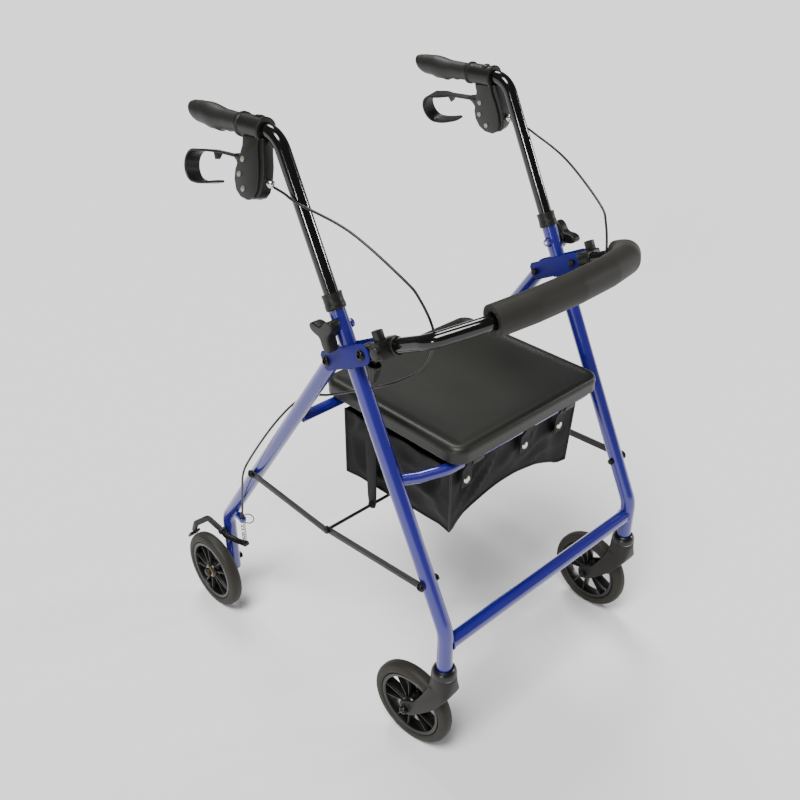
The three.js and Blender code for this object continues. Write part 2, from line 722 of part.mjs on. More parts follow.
function roundedSlab(halfWidth, y0, y1, z0, z1, corner, bevel) {
  const shape = new THREE.Shape();
  const x0 = -halfWidth + bevel;
  const x1 = halfWidth - bevel;
  const low = y0 + bevel;
  const high = y1 - bevel;
  shape.moveTo(x0 + corner, low);
  shape.lineTo(x1 - corner, low);
  shape.absarc(x1 - corner, low + corner, corner, -Math.PI / 2, 0);
  shape.absarc(x1 - corner, high - corner, corner, 0, Math.PI / 2);
  shape.absarc(x0 + corner, high - corner, corner, Math.PI / 2, Math.PI);
  shape.absarc(x0 + corner, low + corner, corner, Math.PI, 1.5 * Math.PI);
  const geometry = new THREE.ExtrudeGeometry(shape, {
    depth: z1 - z0 - 2 * bevel,
    bevelEnabled: bevel > 0,
    bevelThickness: bevel,
    bevelSize: bevel,
    bevelSegments: 2,
    curveSegments: 5,
  });
  return geometry.translate(0, 0, z0 + bevel);
}

const seatPad = () =>
  roundedSlab(SEAT.halfWidth, SEAT.y0, SEAT.y1, SEAT.boardTop + GAP, SEAT.z1, SEAT.corner, 6);

// Seat board with two clips that turn on the front seat tube.
function seatBase() {
  const inset = 14;
  const halfWidth = SEAT.halfWidth - inset;
  const board = roundedSlab(halfWidth, SEAT.y0 + inset, SEAT.y1 - inset, SEAT.z0, SEAT.boardTop, 18, 0);
  const clips = [-1, 1].map((s) =>
    barX(12.6, s * 110 - 12, s * 110 + 12, SEAT_TUBE.frontY, SEAT_TUBE.z));
  const tubeRoom = barX(SEAT_TUBE.radius + 0.5, -160, 160, SEAT_TUBE.frontY, SEAT_TUBE.z);
  return cut(join(board, ...clips), tubeRoom);
}

function basket() {
  const { halfWidth, y0, y1, z0, z1, wall } = BASKET;
  const outside = roundedSlab(halfWidth, y0, y1, z0, z1, 12, 0);
  const inside = roundedSlab(halfWidth - wall, y0 + wall, y1 - wall, z0 + wall, z1 + CUT_END, 10, 0);
  return cut(outside, inside);
}

// A flat bar between two points given by x, y and z; its flat faces look sideways.
function braceBar(from, to) {
  const along = to.clone().sub(from);
  const flatLength = Math.hypot(along.y, along.z);
  const bar = sidePlate([
    ...arc(0, 0, BRACE.height / 2, 90, 270, 6),
    ...arc(flatLength, 0, BRACE.height / 2, -90, 90, 6),
  ], -BRACE.thickness / 2, BRACE.thickness / 2);
  const skew = along.x / flatLength;
  const position = bar.attributes.position;
  for (let i = 0; i < position.count; i += 1) {
    position.setX(i, position.getX(i) + skew * position.getY(i));
  }
  return bar.rotateX(Math.atan2(along.z, along.y)).translate(from.x, from.y, from.z);
}

const braceEnd = (sign, { y, z }, x) => vec(sign * x, y, z);

// Front halves of both braces, joined by the cross rod.
function braceFront() {
  const bars = SIDES.map(({ sign }) => {
    const from = braceEnd(sign, BRACE.front, BRACE.frontX);
    const to = braceEnd(sign, BRACE.middle, BRACE.middleX);
    const bar = braceBar(from, to);
    return cut(bar, barX(4.2, -300, 300, BRACE.front.y, BRACE.front.z, 12));
  });
  const rod = barX(BRACE.rodR, -BRACE.middleX, BRACE.middleX, BRACE.middle.y, BRACE.middle.z, 12);
  return join(...bars, rod);
}

function braceRear(sign) {
  const lapX = BRACE.middleX + BRACE.thickness + GAP;
  const bar = braceBar(braceEnd(sign, BRACE.middle, lapX), braceEnd(sign, BRACE.rear, BRACE.rearX));
  const rivetX = sign * (lapX + BRACE.thickness / 2 - TOUCH);
  const rivetEnd = rivetX + sign * 3;
  const [low, high] = sign > 0 ? [rivetX, rivetEnd] : [rivetEnd, rivetX];
  const rivet = barX(5, low, high, BRACE.middle.y, BRACE.middle.z, 12);
  return cut(join(bar, rivet), barX(4.2, -300, 300, BRACE.rear.y, BRACE.rear.z, 12));
}

// Webbing down the basket's right side, looped under the cross rod.
function foldStrap() {
  const x0 = -BASKET.halfWidth - 4;
  const band = box(x0 - 1.5, x0, BRACE.middle.y - 13, BRACE.middle.y + 13, BRACE.middle.z + 5, SEAT.z0 - GAP);
  const loop = barX(6, x0 - 8, x0 + 2, BRACE.middle.y, BRACE.middle.z, 16);
  const rodRoom = barX(BRACE.rodR + 1, x0 - 20, x0 + 20, BRACE.middle.y, BRACE.middle.z, 16);
  return cut(join(band, loop), rodRoom);
}

// ---------------------------------------------------------------- brake cables

// Route of the right cable, from the housing's adjuster to the lug above the wheel.
const CABLE_ROUTE = [
  [250, 32, 879],
  [250.5, 8, 876],
  [249, -18, 869],
  [230, -103, 847],
  [212, -188, 800],
  [203, -210, 775],
  [192, -224, 733],
  [190, -220, 696],
  [194, -203, 662],
  [201, -159, 628],
  [206, -120, 605],
  [210, -69, 578],
  [213, -21, 553],
  [216, 4, 543],
  [223, 34, 526],
  [231, 60, 501],
  [248, 95, 450],
  [264, 138, 378],
  [272, 152, 343],
  [268, 167, 297],
  [259, 186, 248],
  [254, 197, 226],
  [252, 202, 208],
];

function cable(sign) {
  const curve = new THREE.CatmullRomCurve3(CABLE_ROUTE.map(([x, y, z]) => vec(sign * x, y, z)));
  return sweep(curve, CABLE_R, 0, 8, 40);
}

// ---------------------------------------------------------------- assembly

const walker = new THREE.Group();
const add = (name, geometry, material, parent = walker) => parent.add(namedMesh(name, geometry, material));

add('front_cross_tube', crossTube(), MATERIALS.bluePaint);
add('front_seat_tube', frontSeatTube(), MATERIALS.bluePaint);
add('rear_seat_tube', rearSeatTube(), MATERIALS.bluePaint);
add('seat_pad', seatPad(), MATERIALS.vinyl);
add('seat_base', seatBase(), MATERIALS.blackPlastic);
add('basket', basket(), MATERIALS.nylon);
add('backrest_tube', backrestTube(), MATERIALS.blackTube);
add('backrest_foam', backrestFoam(), MATERIALS.foam);
add('brace_front', braceFront(), MATERIALS.darkMetal);
add('fold_strap', foldStrap(), MATERIALS.nylon);

for (const side of SIDES) {
  const { tag, sign } = side;

  const leg = new THREE.Group();
  leg.position.x = sign * LEG_X;
  add(`front_leg_${tag}`, frontLeg(sign), MATERIALS.bluePaint, leg);
  add(`collar_${tag}`, collar(), MATERIALS.blackPlastic, leg);
  add(`fold_bolt_${tag}`, bracketBolt(sign, FOLD_PIVOT), MATERIALS.darkMetal, leg);
  add(`backrest_bolt_${tag}`, bracketBolt(sign, BACKREST_PIVOT), MATERIALS.darkMetal, leg);
  add(`front_brace_bolt_${tag}`, braceBolt(sign, BRACE.front, LEG_X, BRACE.frontX), MATERIALS.darkMetal, leg);
  add(`height_knob_${tag}`, heightKnob(sign), MATERIALS.blackPlastic, leg);
  add(`handle_tube_${tag}`, handleTube(), MATERIALS.blackTube, leg);
  add(`hand_grip_${tag}`, handGrip(), MATERIALS.gripRubber, leg);
  add(`backrest_socket_${tag}`, backrestSocket(sign), MATERIALS.blackPlastic, leg);
  add(`wing_knob_${tag}`, wingKnob(), MATERIALS.blackPlastic, leg);
  walker.add(leg);

  const brake = new THREE.Group();
  brake.position.set(0, 0, handleZ(0));
  brake.rotation.set(-HANDLE.slope, -sign * BRAKE_ROLL, 0);
  add(`brake_housing_${tag}`, brakeHousing(), MATERIALS.blackPlastic, brake);
  add(`brake_lever_${tag}`, brakeLever(), MATERIALS.blackPlastic, brake);
  leg.add(brake);

  add(`rear_leg_${tag}`, rearLeg(sign), MATERIALS.bluePaint);
  add(`rear_axle_${tag}`, rearAxle(sign), MATERIALS.darkMetal);
  const rearBraceX = rearLegX(BRACE.rear.z);
  const rearBolt = new THREE.Group();
  rearBolt.position.x = sign * rearBraceX;
  const rearBoltShape = braceBolt(sign, BRACE.rear, rearBraceX, BRACE.rearX);
  add(`rear_brace_bolt_${tag}`, rearBoltShape, MATERIALS.darkMetal, rearBolt);
  walker.add(rearBolt);
  add(`brake_arm_${tag}`, brakeArm(sign), MATERIALS.darkMetal);
  add(`brake_spring_${tag}`, brakeSpring(sign), MATERIALS.steel);
  add(`brace_rear_${tag}`, braceRear(sign), MATERIALS.darkMetal);
  add(`brake_cable_${tag}`, cable(sign), MATERIALS.blackPlastic);
  walker.add(rearWheel(side));
  walker.add(caster(side));
}

export default walker;
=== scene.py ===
"""Looks of a folding four-wheeled walker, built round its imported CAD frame.

Lengths are in millimetres until a mesh is made, where they become metres.
+Z is up, -Y is the front and -X is the user's right.
"""
import math

import bmesh
import bpy
from mathutils import Matrix, Vector, noise


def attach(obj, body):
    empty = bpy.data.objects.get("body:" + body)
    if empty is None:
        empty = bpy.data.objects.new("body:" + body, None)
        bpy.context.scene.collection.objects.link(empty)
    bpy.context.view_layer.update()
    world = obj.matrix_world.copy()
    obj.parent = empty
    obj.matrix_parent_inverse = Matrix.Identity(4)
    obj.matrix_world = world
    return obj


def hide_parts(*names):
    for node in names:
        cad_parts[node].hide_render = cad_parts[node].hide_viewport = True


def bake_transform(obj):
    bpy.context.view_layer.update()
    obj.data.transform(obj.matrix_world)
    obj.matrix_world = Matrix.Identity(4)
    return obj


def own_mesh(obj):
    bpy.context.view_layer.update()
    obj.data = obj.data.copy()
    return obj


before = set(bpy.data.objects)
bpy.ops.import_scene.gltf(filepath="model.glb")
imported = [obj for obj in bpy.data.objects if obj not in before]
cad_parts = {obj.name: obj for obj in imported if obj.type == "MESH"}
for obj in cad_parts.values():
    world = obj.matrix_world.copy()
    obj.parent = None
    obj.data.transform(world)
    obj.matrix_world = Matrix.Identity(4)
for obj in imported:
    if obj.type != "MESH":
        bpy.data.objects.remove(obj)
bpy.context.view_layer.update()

# ------------------------------------------------------------------ driving dimensions

MM = 0.001
SIDES = (("R", -1), ("L", 1))

LEG_X = 235
LEG_TILT = math.radians(26.6)
BRACKET_Y = -106.3
BRACKET_Z = 665
LEG_R = 12.7
LEG_TOP = 78
LEG_FOOT_Z = 190
STEM_Y = -304.5

FOLD_BACK = 43.5
HINGE_BACK = -42
HINGE_UP = 1

HANDLE_R = 11.1
HANDLE_CORNER_Z = 950
HANDLE_SLOPE = math.radians(1.7)
HANDLE_END_Y = 224
BRAKE_ROLL = math.radians(13.4)
KNOB_UP = 43

REAR_X = 249
REAR_Y = 254
REAR_BEND_Z = 182
REAR_FOOT_Z = 57
REAR_WHEEL_X = 292
WHEEL_R = 76
WHEEL_HALF = 12
RIM_R = 59
TRAIL = 61
CASTER_YAW = {"R": math.radians(6), "L": 0}

SEAT_X = 170
SEAT_Y0 = -259.6
SEAT_Y1 = 50
SEAT_Z0 = 511.5
TUBE_Z = 497.5
SEAT_TUBE_R = 9
CROSS_TUBE_R = 12
CROSS_TUBE_Z = 242
FRONT_TUBE_Y = -233
REAR_TUBE_Y = 28

BACKREST_TILT = math.radians(25)
FOAM_R = 23.5
BRACE_FRONT = (-266.9, 344.4)
BRACE_MIDDLE = (-56, 332)
BRACE_REAR = (142, 342.6)

# ------------------------------------------------------------------ frames of reference

def on_axes(origin, x, y, z):
    """The matrix whose columns are three axes and an origin."""
    m = Matrix((x, y, z)).transposed().to_4x4()
    m.translation = origin
    return m


def shift(x, y, z):
    return Matrix.Translation((x, y, z))


LEG = shift(0, BRACKET_Y, BRACKET_Z) @ Matrix.Rotation(-LEG_TILT, 4, "X")


def on_leg(back, up, x=0.0):
    return LEG @ Vector((x, back, up))


def up_leg(z):
    """Distance along the leg at which its centreline reaches a height."""
    return (z - BRACKET_Z) / math.cos(LEG_TILT)


FOLD_POINT = on_leg(FOLD_BACK, 0)
HINGE_POINT = on_leg(HINGE_BACK, HINGE_UP)
HANDLE_CORNER = on_leg(0, up_leg(HANDLE_CORNER_Z))
HANDLE_AXIS = (shift(0, 0, HANDLE_CORNER_Z + HANDLE_CORNER.y * math.tan(HANDLE_SLOPE))
               @ Matrix.Rotation(-HANDLE_SLOPE, 4, "X"))
BACKREST = on_axes(HINGE_POINT, (1, 0, 0),
                   (0, -math.cos(BACKREST_TILT), math.sin(BACKREST_TILT)),
                   (0, -math.sin(BACKREST_TILT), -math.cos(BACKREST_TILT)))

# ------------------------------------------------------------------ shapes: (points, faces) pairs


def ring(radius, sides):
    step = 2 * math.pi / sides
    return [(radius * math.cos(i * step), radius * math.sin(i * step)) for i in range(sides)]


MIRROR_X = Matrix.Scale(-1, 4, (1, 0, 0))


def moved(shape, matrix):
    points, faces = shape
    flip = matrix.determinant() < 0
    return [matrix @ p for p in points], [f[::-1] for f in faces] if flip else faces


def bent(corners, radius, step=6):
    """Stations (point, tangent) of straight runs joined by arcs."""
    corners = [Vector(c) for c in corners]
    stations = [(corners[0], (corners[1] - corners[0]).normalized())]
    for before, corner, after in zip(corners, corners[1:], corners[2:]):
        a = (corner - before).normalized()
        b = (after - corner).normalized()
        turn = a.angle(b)
        start = corner - a * radius * math.tan(turn / 2)
        inward = (b - a * a.dot(b)).normalized()
        count = max(2, math.ceil(math.degrees(turn) / step))
        for i in range(count + 1):
            t = turn * i / count
            point = start + a * radius * math.sin(t) + inward * radius * (1 - math.cos(t))
            stations.append((point, a * math.cos(t) + inward * math.sin(t)))
    stations.append((corners[-1], (corners[-1] - corners[-2]).normalized()))
    return stations


def curved(points, per_span=6):
    """Stations of a smooth curve through points."""
    p = [Vector(q) for q in points]
    p = [p[0] * 2 - p[1]] + p + [p[-1] * 2 - p[-2]]
    places = []
    for a, b, c, d in zip(p, p[1:], p[2:], p[3:]):
        for i in range(per_span):
            t = i / per_span
            places.append(0.5 * (2 * b + (c - a) * t + (2 * a - 5 * b + 4 * c - d) * t * t
                                 + (3 * b - a - 3 * c + d) * t ** 3))
    places.append(p[-2])
    ends = [places[0]] + places + [places[-1]]
    return [(q, (after - before).normalized()) for q, before, after in zip(places, ends, ends[2:])]


def bands(loops):
    """Points of loops of equal length, and the faces between each loop and the next."""
    count = len(loops[0])
    points = [Vector(p) for loop in loops for p in loop]
    faces = []
    for i in range(len(loops) - 1):
        for j in range(count):
            k = (j + 1) % count
            faces.append([i * count + j, i * count + k, (i + 1) * count + k, (i + 1) * count + j])
    return points, faces


def skin(loops):
    """A closed body through loops of equal length."""
    count = len(loops[0])
    points, faces = bands(loops)
    ends = [list(range(count))[::-1], list(range(len(points) - count, len(points)))]
    return points, ends + faces


def between(table, t):
    """Eased value at t of a table of (place, value) knots."""
    for (t0, v0), (t1, v1) in zip(table, table[1:]):
        if t <= t1:
            share = (t - t0) / (t1 - t0)
            return v0 + (v1 - v0) * share * share * (3 - 2 * share)
    return table[-1][1]


def squarish(half_x, half_y, power, count=56):
    """An outline between an ellipse (power 2) and a rectangle."""
    return [(math.copysign(abs(c) ** (2 / power), c) * half_x,
             math.copysign(abs(s) ** (2 / power), s) * half_y)
            for c, s in ring(1, count)]


def swept(stations, sections, across=None):
    """A closed skin through sections placed square to the stations.

    sections is one outline for all stations or a list with one for each. across keeps an outline's
    first axis towards a fixed direction; without it the outline is carried along untwisted.
    """
    many = isinstance(sections[0][0], (tuple, list, Vector))
    loops = []
    side = None
    for i, (place, tangent) in enumerate(stations):
        if across is not None:
            side = Vector(across)
        elif side is None:
            side = tangent.orthogonal()
        side = (side - tangent * side.dot(tangent)).normalized()
        other = tangent.cross(side)
        outline = sections[i] if many else sections
        loops.append([place + side * a + other * b for a, b in outline])
    return skin(loops)


def tube(corners, radius, bend=1.0, sides=32):
    return swept(bent(corners, bend), ring(radius, sides))


def lathe(profile, axis="X", sides=48):
    """Turns (radius, height) points about an axis. The profile is closed by its own ends or by the axis."""
    points = []
    faces = []
    count = len(profile)
    for i in range(sides):
        c, s = math.cos(2 * math.pi * i / sides), math.sin(2 * math.pi * i / sides)
        for r, h in profile:
            spots = {"X": (h, r * c, r * s), "Y": (r * s, h, r * c), "Z": (r * c, r * s, h)}
            points.append(Vector(spots[axis]))
    for i in range(sides):
        n = (i + 1) % sides
        for j in range(count):
            k = (j + 1) % count
            faces.append([i * count + j, i * count + k, n * count + k, n * count + j])
    return points, faces


def rod(radius, x0, x1, axis="X", sides=32, edge=0.6):
    """A short round bar with softened ends."""
    return lathe([(0, x0), (radius - edge, x0), (radius, x0 + edge), (radius, x1 - edge),
                  (radius - edge, x1), (0, x1)], axis, sides)


def rounded(shape, width, segments=2, sharp=30):
    """Rounds every edge of a shape that is sharper than an angle."""
    mesh = bmesh.new()
    points = [mesh.verts.new(p) for p in shape[0]]
    for f in shape[1]:
        mesh.faces.new([points[i] for i in f])
    bmesh.ops.remove_doubles(mesh, verts=mesh.verts, dist=1e-4)
    bmesh.ops.recalc_face_normals(mesh, faces=mesh.faces)
    edges = [e for e in mesh.edges if len(e.link_faces) == 2 and e.calc_face_angle() > math.radians(sharp)]
    bmesh.ops.bevel(mesh, geom=edges, offset=width, segments=segments, profile=0.5,
                    affect="EDGES", clamp_overlap=True)
    mesh.verts.index_update()
    made = [v.co.copy() for v in mesh.verts], [[v.index for v in f.verts] for f in mesh.faces]
    mesh.free()
    return made


def prism(outline, x0, x1, edge=0.6, segments=2):
    """A plate whose outline lies in the Y-Z plane, with rounded edges."""
    n = len(outline)
    points = [Vector((x, y, z)) for x in (x0, x1) for y, z in outline]
    faces = [list(range(n))[::-1], list(range(n, 2 * n))]
    faces += [[i, (i + 1) % n, n + (i + 1) % n, n + i] for i in range(n)]
    shape = (points, faces)
    return rounded(shape, edge, segments) if edge else shape


def arc(cy, cz, radius, start, end, steps=14):
    return [(cy + radius * math.cos(math.radians(start + (end - start) * i / steps)),
             cz + radius * math.sin(math.radians(start + (end - start) * i / steps)))
            for i in range(steps + 1)]


def box(x0, x1, y0, y1, z0, z1, edge=0.8):
    return prism([(y0, z0), (y1, z0), (y1, z1), (y0, z1)], x0, x1, edge)


def bead(stations_ring, thickness, seed):
    """An uneven weld bead along a closed loop of points."""
    loop = [Vector(p) for p in stations_ring]
    count = len(loop)
    points = []
    faces = []
    sides = 8
    for i, p in enumerate(loop):
        tangent = (loop[(i + 1) % count] - loop[i - 1]).normalized()
        side = tangent.orthogonal().normalized()
        other = tangent.cross(side)
        swell = thickness * (1 + 0.28 * noise.noise(Vector((i * 0.9, seed, 0))))
        for a, b in ring(swell, sides):
            points.append(p + side * a + other * b)
    for i in range(count):
        for j in range(sides):
            k = (j + 1) % sides
            n = (i + 1) % count
            faces.append([i * sides + j, i * sides + k, n * sides + k, n * sides + j])
    return points, faces


def seam_on_tube(centre, axis, tube_r, reach, seed, thickness=1.5):
    """Weld bead where a bar of a given reach meets a vertical-ish tube, on the side that axis points to."""
    axis = Vector(axis).normalized()
    side = axis.orthogonal().normalized()
    other = axis.cross(side)
    loop = [Vector(centre) + axis * tube_r + side * reach * c + other * reach * s
            for c, s in ring(1, 36)]
    return bead(loop, thickness, seed)


# ------------------------------------------------------------------ materials


def coloured(red, green, blue):
    """Linear colour of an 8-bit screen colour."""
    return tuple(((c / 255 + 0.055) / 1.055) ** 2.4 if c > 10 else c / 255 / 12.92
                 for c in (red, green, blue)) + (1,)


def surface(name, colour, roughness, metallic=0.0, coat=0.0, coat_roughness=0.1, tone=0.12, cloud=9.0,
            grain=900.0, depth=0.15, bump=0.00012, spread=0.06, sheen=0.0, specular=0.5):
    """A shader with cloudy tone, uneven gloss and a fine grain."""
    material = bpy.data.materials.new(name)
    material.use_nodes = True
    nodes = material.node_tree.nodes
    links = material.node_tree.links
    shader = nodes["Principled BSDF"]
    place = nodes.new("ShaderNodeTexCoord")
    clouds = nodes.new("ShaderNodeTexNoise")
    clouds.inputs["Scale"].default_value = cloud
    clouds.inputs["Detail"].default_value = 5
    links.new(place.outputs["Object"], clouds.inputs["Vector"])
    ramp = nodes.new("ShaderNodeValToRGB")
    ramp.color_ramp.elements[0].position = 0.3
    ramp.color_ramp.elements[1].position = 0.7
    ramp.color_ramp.elements[0].color = [c * (1 - tone) for c in colour[:3]] + [1]
    ramp.color_ramp.elements[1].color = [min(1, c * (1 + tone)) for c in colour[:3]] + [1]
    links.new(clouds.outputs["Fac"], ramp.inputs["Fac"])
    links.new(ramp.outputs["Color"], shader.inputs["Base Color"])
    gloss = nodes.new("ShaderNodeMapRange")
    gloss.inputs["To Min"].default_value = max(0.02, roughness - spread)
    gloss.inputs["To Max"].default_value = roughness + spread
    links.new(clouds.outputs["Fac"], gloss.inputs["Value"])
    links.new(gloss.outputs["Result"], shader.inputs["Roughness"])
    fine = nodes.new("ShaderNodeTexNoise")
    fine.inputs["Scale"].default_value = grain
    fine.inputs["Detail"].default_value = 3
    links.new(place.outputs["Object"], fine.inputs["Vector"])
    relief = nodes.new("ShaderNodeBump")
    relief.inputs["Strength"].default_value = depth
    relief.inputs["Distance"].default_value = bump
    links.new(fine.outputs["Fac"], relief.inputs["Height"])
    links.new(relief.outputs["Normal"], shader.inputs["Normal"])
    shader.inputs["Metallic"].default_value = metallic
    shader.inputs["Coat Weight"].default_value = coat
    shader.inputs["Coat Roughness"].default_value = coat_roughness
    shader.inputs["Sheen Weight"].default_value = sheen
    shader.inputs["Specular IOR Level"].default_value = specular
    return material


def woven(name, colour):
    """Plain-weave nylon: two crossed sets of threads over slow wrinkles."""
    material = surface(name, colour, 0.55, tone=0.25, cloud=14, grain=60, depth=0.35, bump=0.0012,
                       specular=0.22)
    nodes = material.node_tree.nodes
    links = material.node_tree.links
    place = nodes.new("ShaderNodeTexCoord")
    threads = []
    for direction in ("X", "Z"):
        wave = nodes.new("ShaderNodeTexWave")
        wave.bands_direction = direction
        wave.inputs["Scale"].default_value = 420
        links.new(place.outputs["Object"], wave.inputs["Vector"])
        threads.append(wave)
    both = nodes.new("ShaderNodeMath")
    both.operation = "MULTIPLY"
    for i, wave in enumerate(threads):
        links.new(wave.outputs["Fac"], both.inputs[i])
    weave = nodes.new("ShaderNodeBump")
    weave.inputs["Strength"].default_value = 0.25
    weave.inputs["Distance"].default_value = 0.0002
    links.new(both.outputs["Value"], weave.inputs["Height"])
    wrinkles = next(n for n in nodes if n.type == "BUMP" and n is not weave)
    links.new(wrinkles.outputs["Normal"], weave.inputs["Normal"])
    links.new(weave.outputs["Normal"], nodes["Principled BSDF"].inputs["Normal"])
    return material


BLUE = surface("blue_paint", coloured(28, 22, 122), 0.26, metallic=0.1, coat=1.0, coat_roughness=0.1,
               tone=0.06, grain=1600, depth=0.08)
BLUE_MATT = surface("blue_bracket", coloured(22, 21, 106), 0.5, tone=0.08, grain=1200, depth=0.15,
                    specular=0.2)
BLACK_TUBE = surface("black_tube", coloured(6, 6, 5), 0.12, coat=0.15, coat_roughness=0.04,
                     tone=0.1, grain=500, depth=0.05, spread=0.03)
BLACK_PLASTIC = surface("black_plastic", coloured(16, 16, 14), 0.42, tone=0.12, depth=0.3, specular=0.4)
DARK_PLASTIC = surface("dark_plastic", coloured(14, 14, 12), 0.32, tone=0.12, depth=0.2)
CABLE_JACKET = surface("cable_jacket", coloured(10, 10, 9), 0.35, tone=0.1, depth=0.1)
GREY_PLASTIC = surface("grey_plastic", coloured(26, 24, 20), 0.5, tone=0.1, depth=0.4, specular=0.35)
GRIP_RUBBER = surface("grip_rubber", coloured(22, 21, 19), 0.5, tone=0.15, depth=0.5, grain=700)
FOAM = surface("foam", coloured(36, 35, 31), 0.6, tone=0.06, cloud=20, grain=650, depth=0.55,
               bump=0.0003, specular=0.3)
VINYL = surface("vinyl", coloured(28, 28, 23), 0.42, tone=0.06, grain=520, depth=0.5, bump=0.0003,
                specular=0.36)
NYLON = woven("nylon", coloured(10, 10, 9))
WEBBING = woven("webbing", coloured(10, 10, 9))
PIPING = surface("piping", coloured(8, 8, 8), 0.5, tone=0.1, depth=0.4)
TYRE = surface("tyre", coloured(37, 34, 27), 0.6, tone=0.08, grain=800, depth=0.35, specular=0.35)
DARK_METAL = surface("dark_metal", coloured(12, 12, 11), 0.42, tone=0.15, depth=0.2, specular=0.4)
BOLT = surface("bolt", coloured(22, 22, 21), 0.28, metallic=0.6, tone=0.2, depth=0.2)
STEEL = surface("steel", coloured(205, 203, 196), 0.22, metallic=1.0, tone=0.08, depth=0.1)
BRASS = surface("brass", coloured(176, 148, 84), 0.3, metallic=1.0, tone=0.15, depth=0.2)
RIVET = surface("rivet", coloured(150, 148, 134), 0.4, metallic=0.6, tone=0.12, depth=0.2)

# ------------------------------------------------------------------ making pieces

SMOOTH_UNDER = math.radians(38)


def piece(name, material, body, slot, *shapes, stands_for=(), smooth=SMOOTH_UNDER):
    """Joins shapes into one mesh that rides on a body and stands for CAD nodes."""
    points = []
    faces = []
    for p, f in shapes:
        base = len(points)
        points += [q * MM for q in p]
        faces += [[i + base for i in face] for face in f]
    mesh = bpy.data.meshes.new(name)
    mesh.from_pydata(points, [], faces)
    work = bmesh.new()
    work.from_mesh(mesh)
    bmesh.ops.remove_doubles(work, verts=work.verts, dist=1e-6)
    bmesh.ops.recalc_face_normals(work, faces=work.faces)
    work.to_mesh(mesh)
    work.free()
    mesh.shade_smooth()
    mesh.set_sharp_from_angle(angle=smooth)
    mesh.materials.append(material)
    made = bpy.data.objects.new(name, mesh)
    bpy.context.scene.collection.objects.link(made)
    if body:
        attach(made, body)
    if stands_for:
        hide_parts(*stands_for)
    return made


def mirrored(shape, sign):
    """Shapes are drawn for +X as the outer side and flipped for the right-hand side."""
    return shape if sign > 0 else moved(shape, MIRROR_X)


def on_side(shape, sign, x=LEG_X):
    return moved(mirrored(shape, sign), shift(sign * x, 0, 0))


def dome_bolt(x, radius=7.0, height=4.5):
    """Button head facing +X, with its hexagon socket."""
    head = lathe([(0, x + height * 0.35), (radius * 0.42, x + height * 0.35), (radius * 0.46, x + height),
                  (radius * 0.6, x + height * 0.97), (radius * 0.85, x + height * 0.72),
                  (radius, x + height * 0.3), (radius, x), (0, x)])
    washer = lathe([(0, x - 0.2), (radius + 1.4, x - 0.2), (radius + 1.4, x + 0.6),
                    (radius * 0.9, x + 0.8), (0, x + 0.8)])
    return [head, washer]


def hex_nut(x0, x1, radius):
    return prism([(radius * c, radius * s) for c, s in ring(1, 6)], x0, x1, 0.5)


# ------------------------------------------------------------------ front frame


def bracket_outline():
    """Plate outline in the leg's frame: a round nose at the hinge, clipped corners at the fold bolt."""
    nose = arc(HINGE_BACK - 1, HINGE_UP, 16, 90, 270, 20)
    return nose + [(49, -15.5), (54, -10.5), (54, 10.5), (49, 15.5)]


def bracket_seam(sign_x, seed):
    """Bead where the leg tube enters and leaves a plate."""
    beads = []
    for up in (-15.8, 15.8):
        line = [Vector((sign_x * 12.4, back, up)) for back in (-7, -3, 1, 5, 9)]
        stations = [(p, Vector((0, 1, 0))) for p in line]
        sizes = [ring(1.5 + 0.4 * noise.noise(Vector((i, seed, up))), 10) for i in range(len(line))]
        beads.append(moved(swept(stations, sizes), LEG))
    return beads


def front_leg(tag, sign):
    """Leg weldment, its bracket plates, the collar in its top and the bolts it carries."""
    knee = on_leg(0, (STEM_Y - BRACKET_Y) / math.sin(LEG_TILT))
    leg = tube([on_leg(0, LEG_TOP), knee, (0, STEM_Y, LEG_FOOT_Z)], LEG_R, 60, 40)
    outline = bracket_outline()
    plates = [moved(prism(outline, x, x + 3, 0.9, 3), LEG) for x in (13, -16)]
    cross_seam = seam_on_tube((0, STEM_Y, CROSS_TUBE_Z), (-1, 0, 0), LEG_R - 3.2, CROSS_TUBE_R + 0.2, sign)
    seat_seam = seam_on_tube((0, on_leg(0, up_leg(489)).y, 489), (-1, 0.1, 0), LEG_R - 1.6, 9.8, sign + 3)
    weld = moved(rod(6.5, -18.5, -9, sides=32), LEG @ shift(0, 0, KNOB_UP))
    nut_bead = moved(bead([(-12.2, 7.2 * c, 7.2 * s) for c, s in ring(1, 24)], 1.5, 7 + sign),
                     LEG @ shift(0, 0, KNOB_UP))
    shapes = [leg, cross_seam, seat_seam, weld, nut_bead]
    piece(f"leg_front_{tag}", BLUE, "front_frame", "blue_paint", *[on_side(s, sign) for s in shapes],
          stands_for=[f"front_leg_{tag}"])
    shapes = [*plates, *bracket_seam(1, 1 + sign), *bracket_seam(-1, 5 + sign)]
    piece(f"bracket_{tag}", BLUE_MATT, "front_frame", "blue_paint", *[on_side(s, sign) for s in shapes])
    pin = moved(rod(3.4, -20.2, -18, sides=20), LEG @ shift(0, 0, KNOB_UP))
    piece(f"knob_pin_{tag}", STEEL, "front_frame", "steel", on_side(pin, sign))
    front_collar(tag, sign)
    front_bolts(tag, sign)


def front_collar(tag, sign):
    """Plastic collar that lines the leg's top for the handle tube."""
    bush = lathe([(HANDLE_R + 0.2, 68.5), (13.5, 68.5), (14.6, 68.5), (15.3, 70), (15.3, 76),
                  (14.7, 77.5), (14.7, 88), (15.2, 89.5), (15.0, 92), (HANDLE_R + 0.2, 92),
                  (HANDLE_R + 0.2, 80),
                  (HANDLE_R + 0.2, 72)], "Z")
    piece(f"bush_{tag}", BLACK_PLASTIC, "front_frame", "black_plastic", on_side(moved(bush, LEG), sign),
          stands_for=[f"collar_{tag}"])


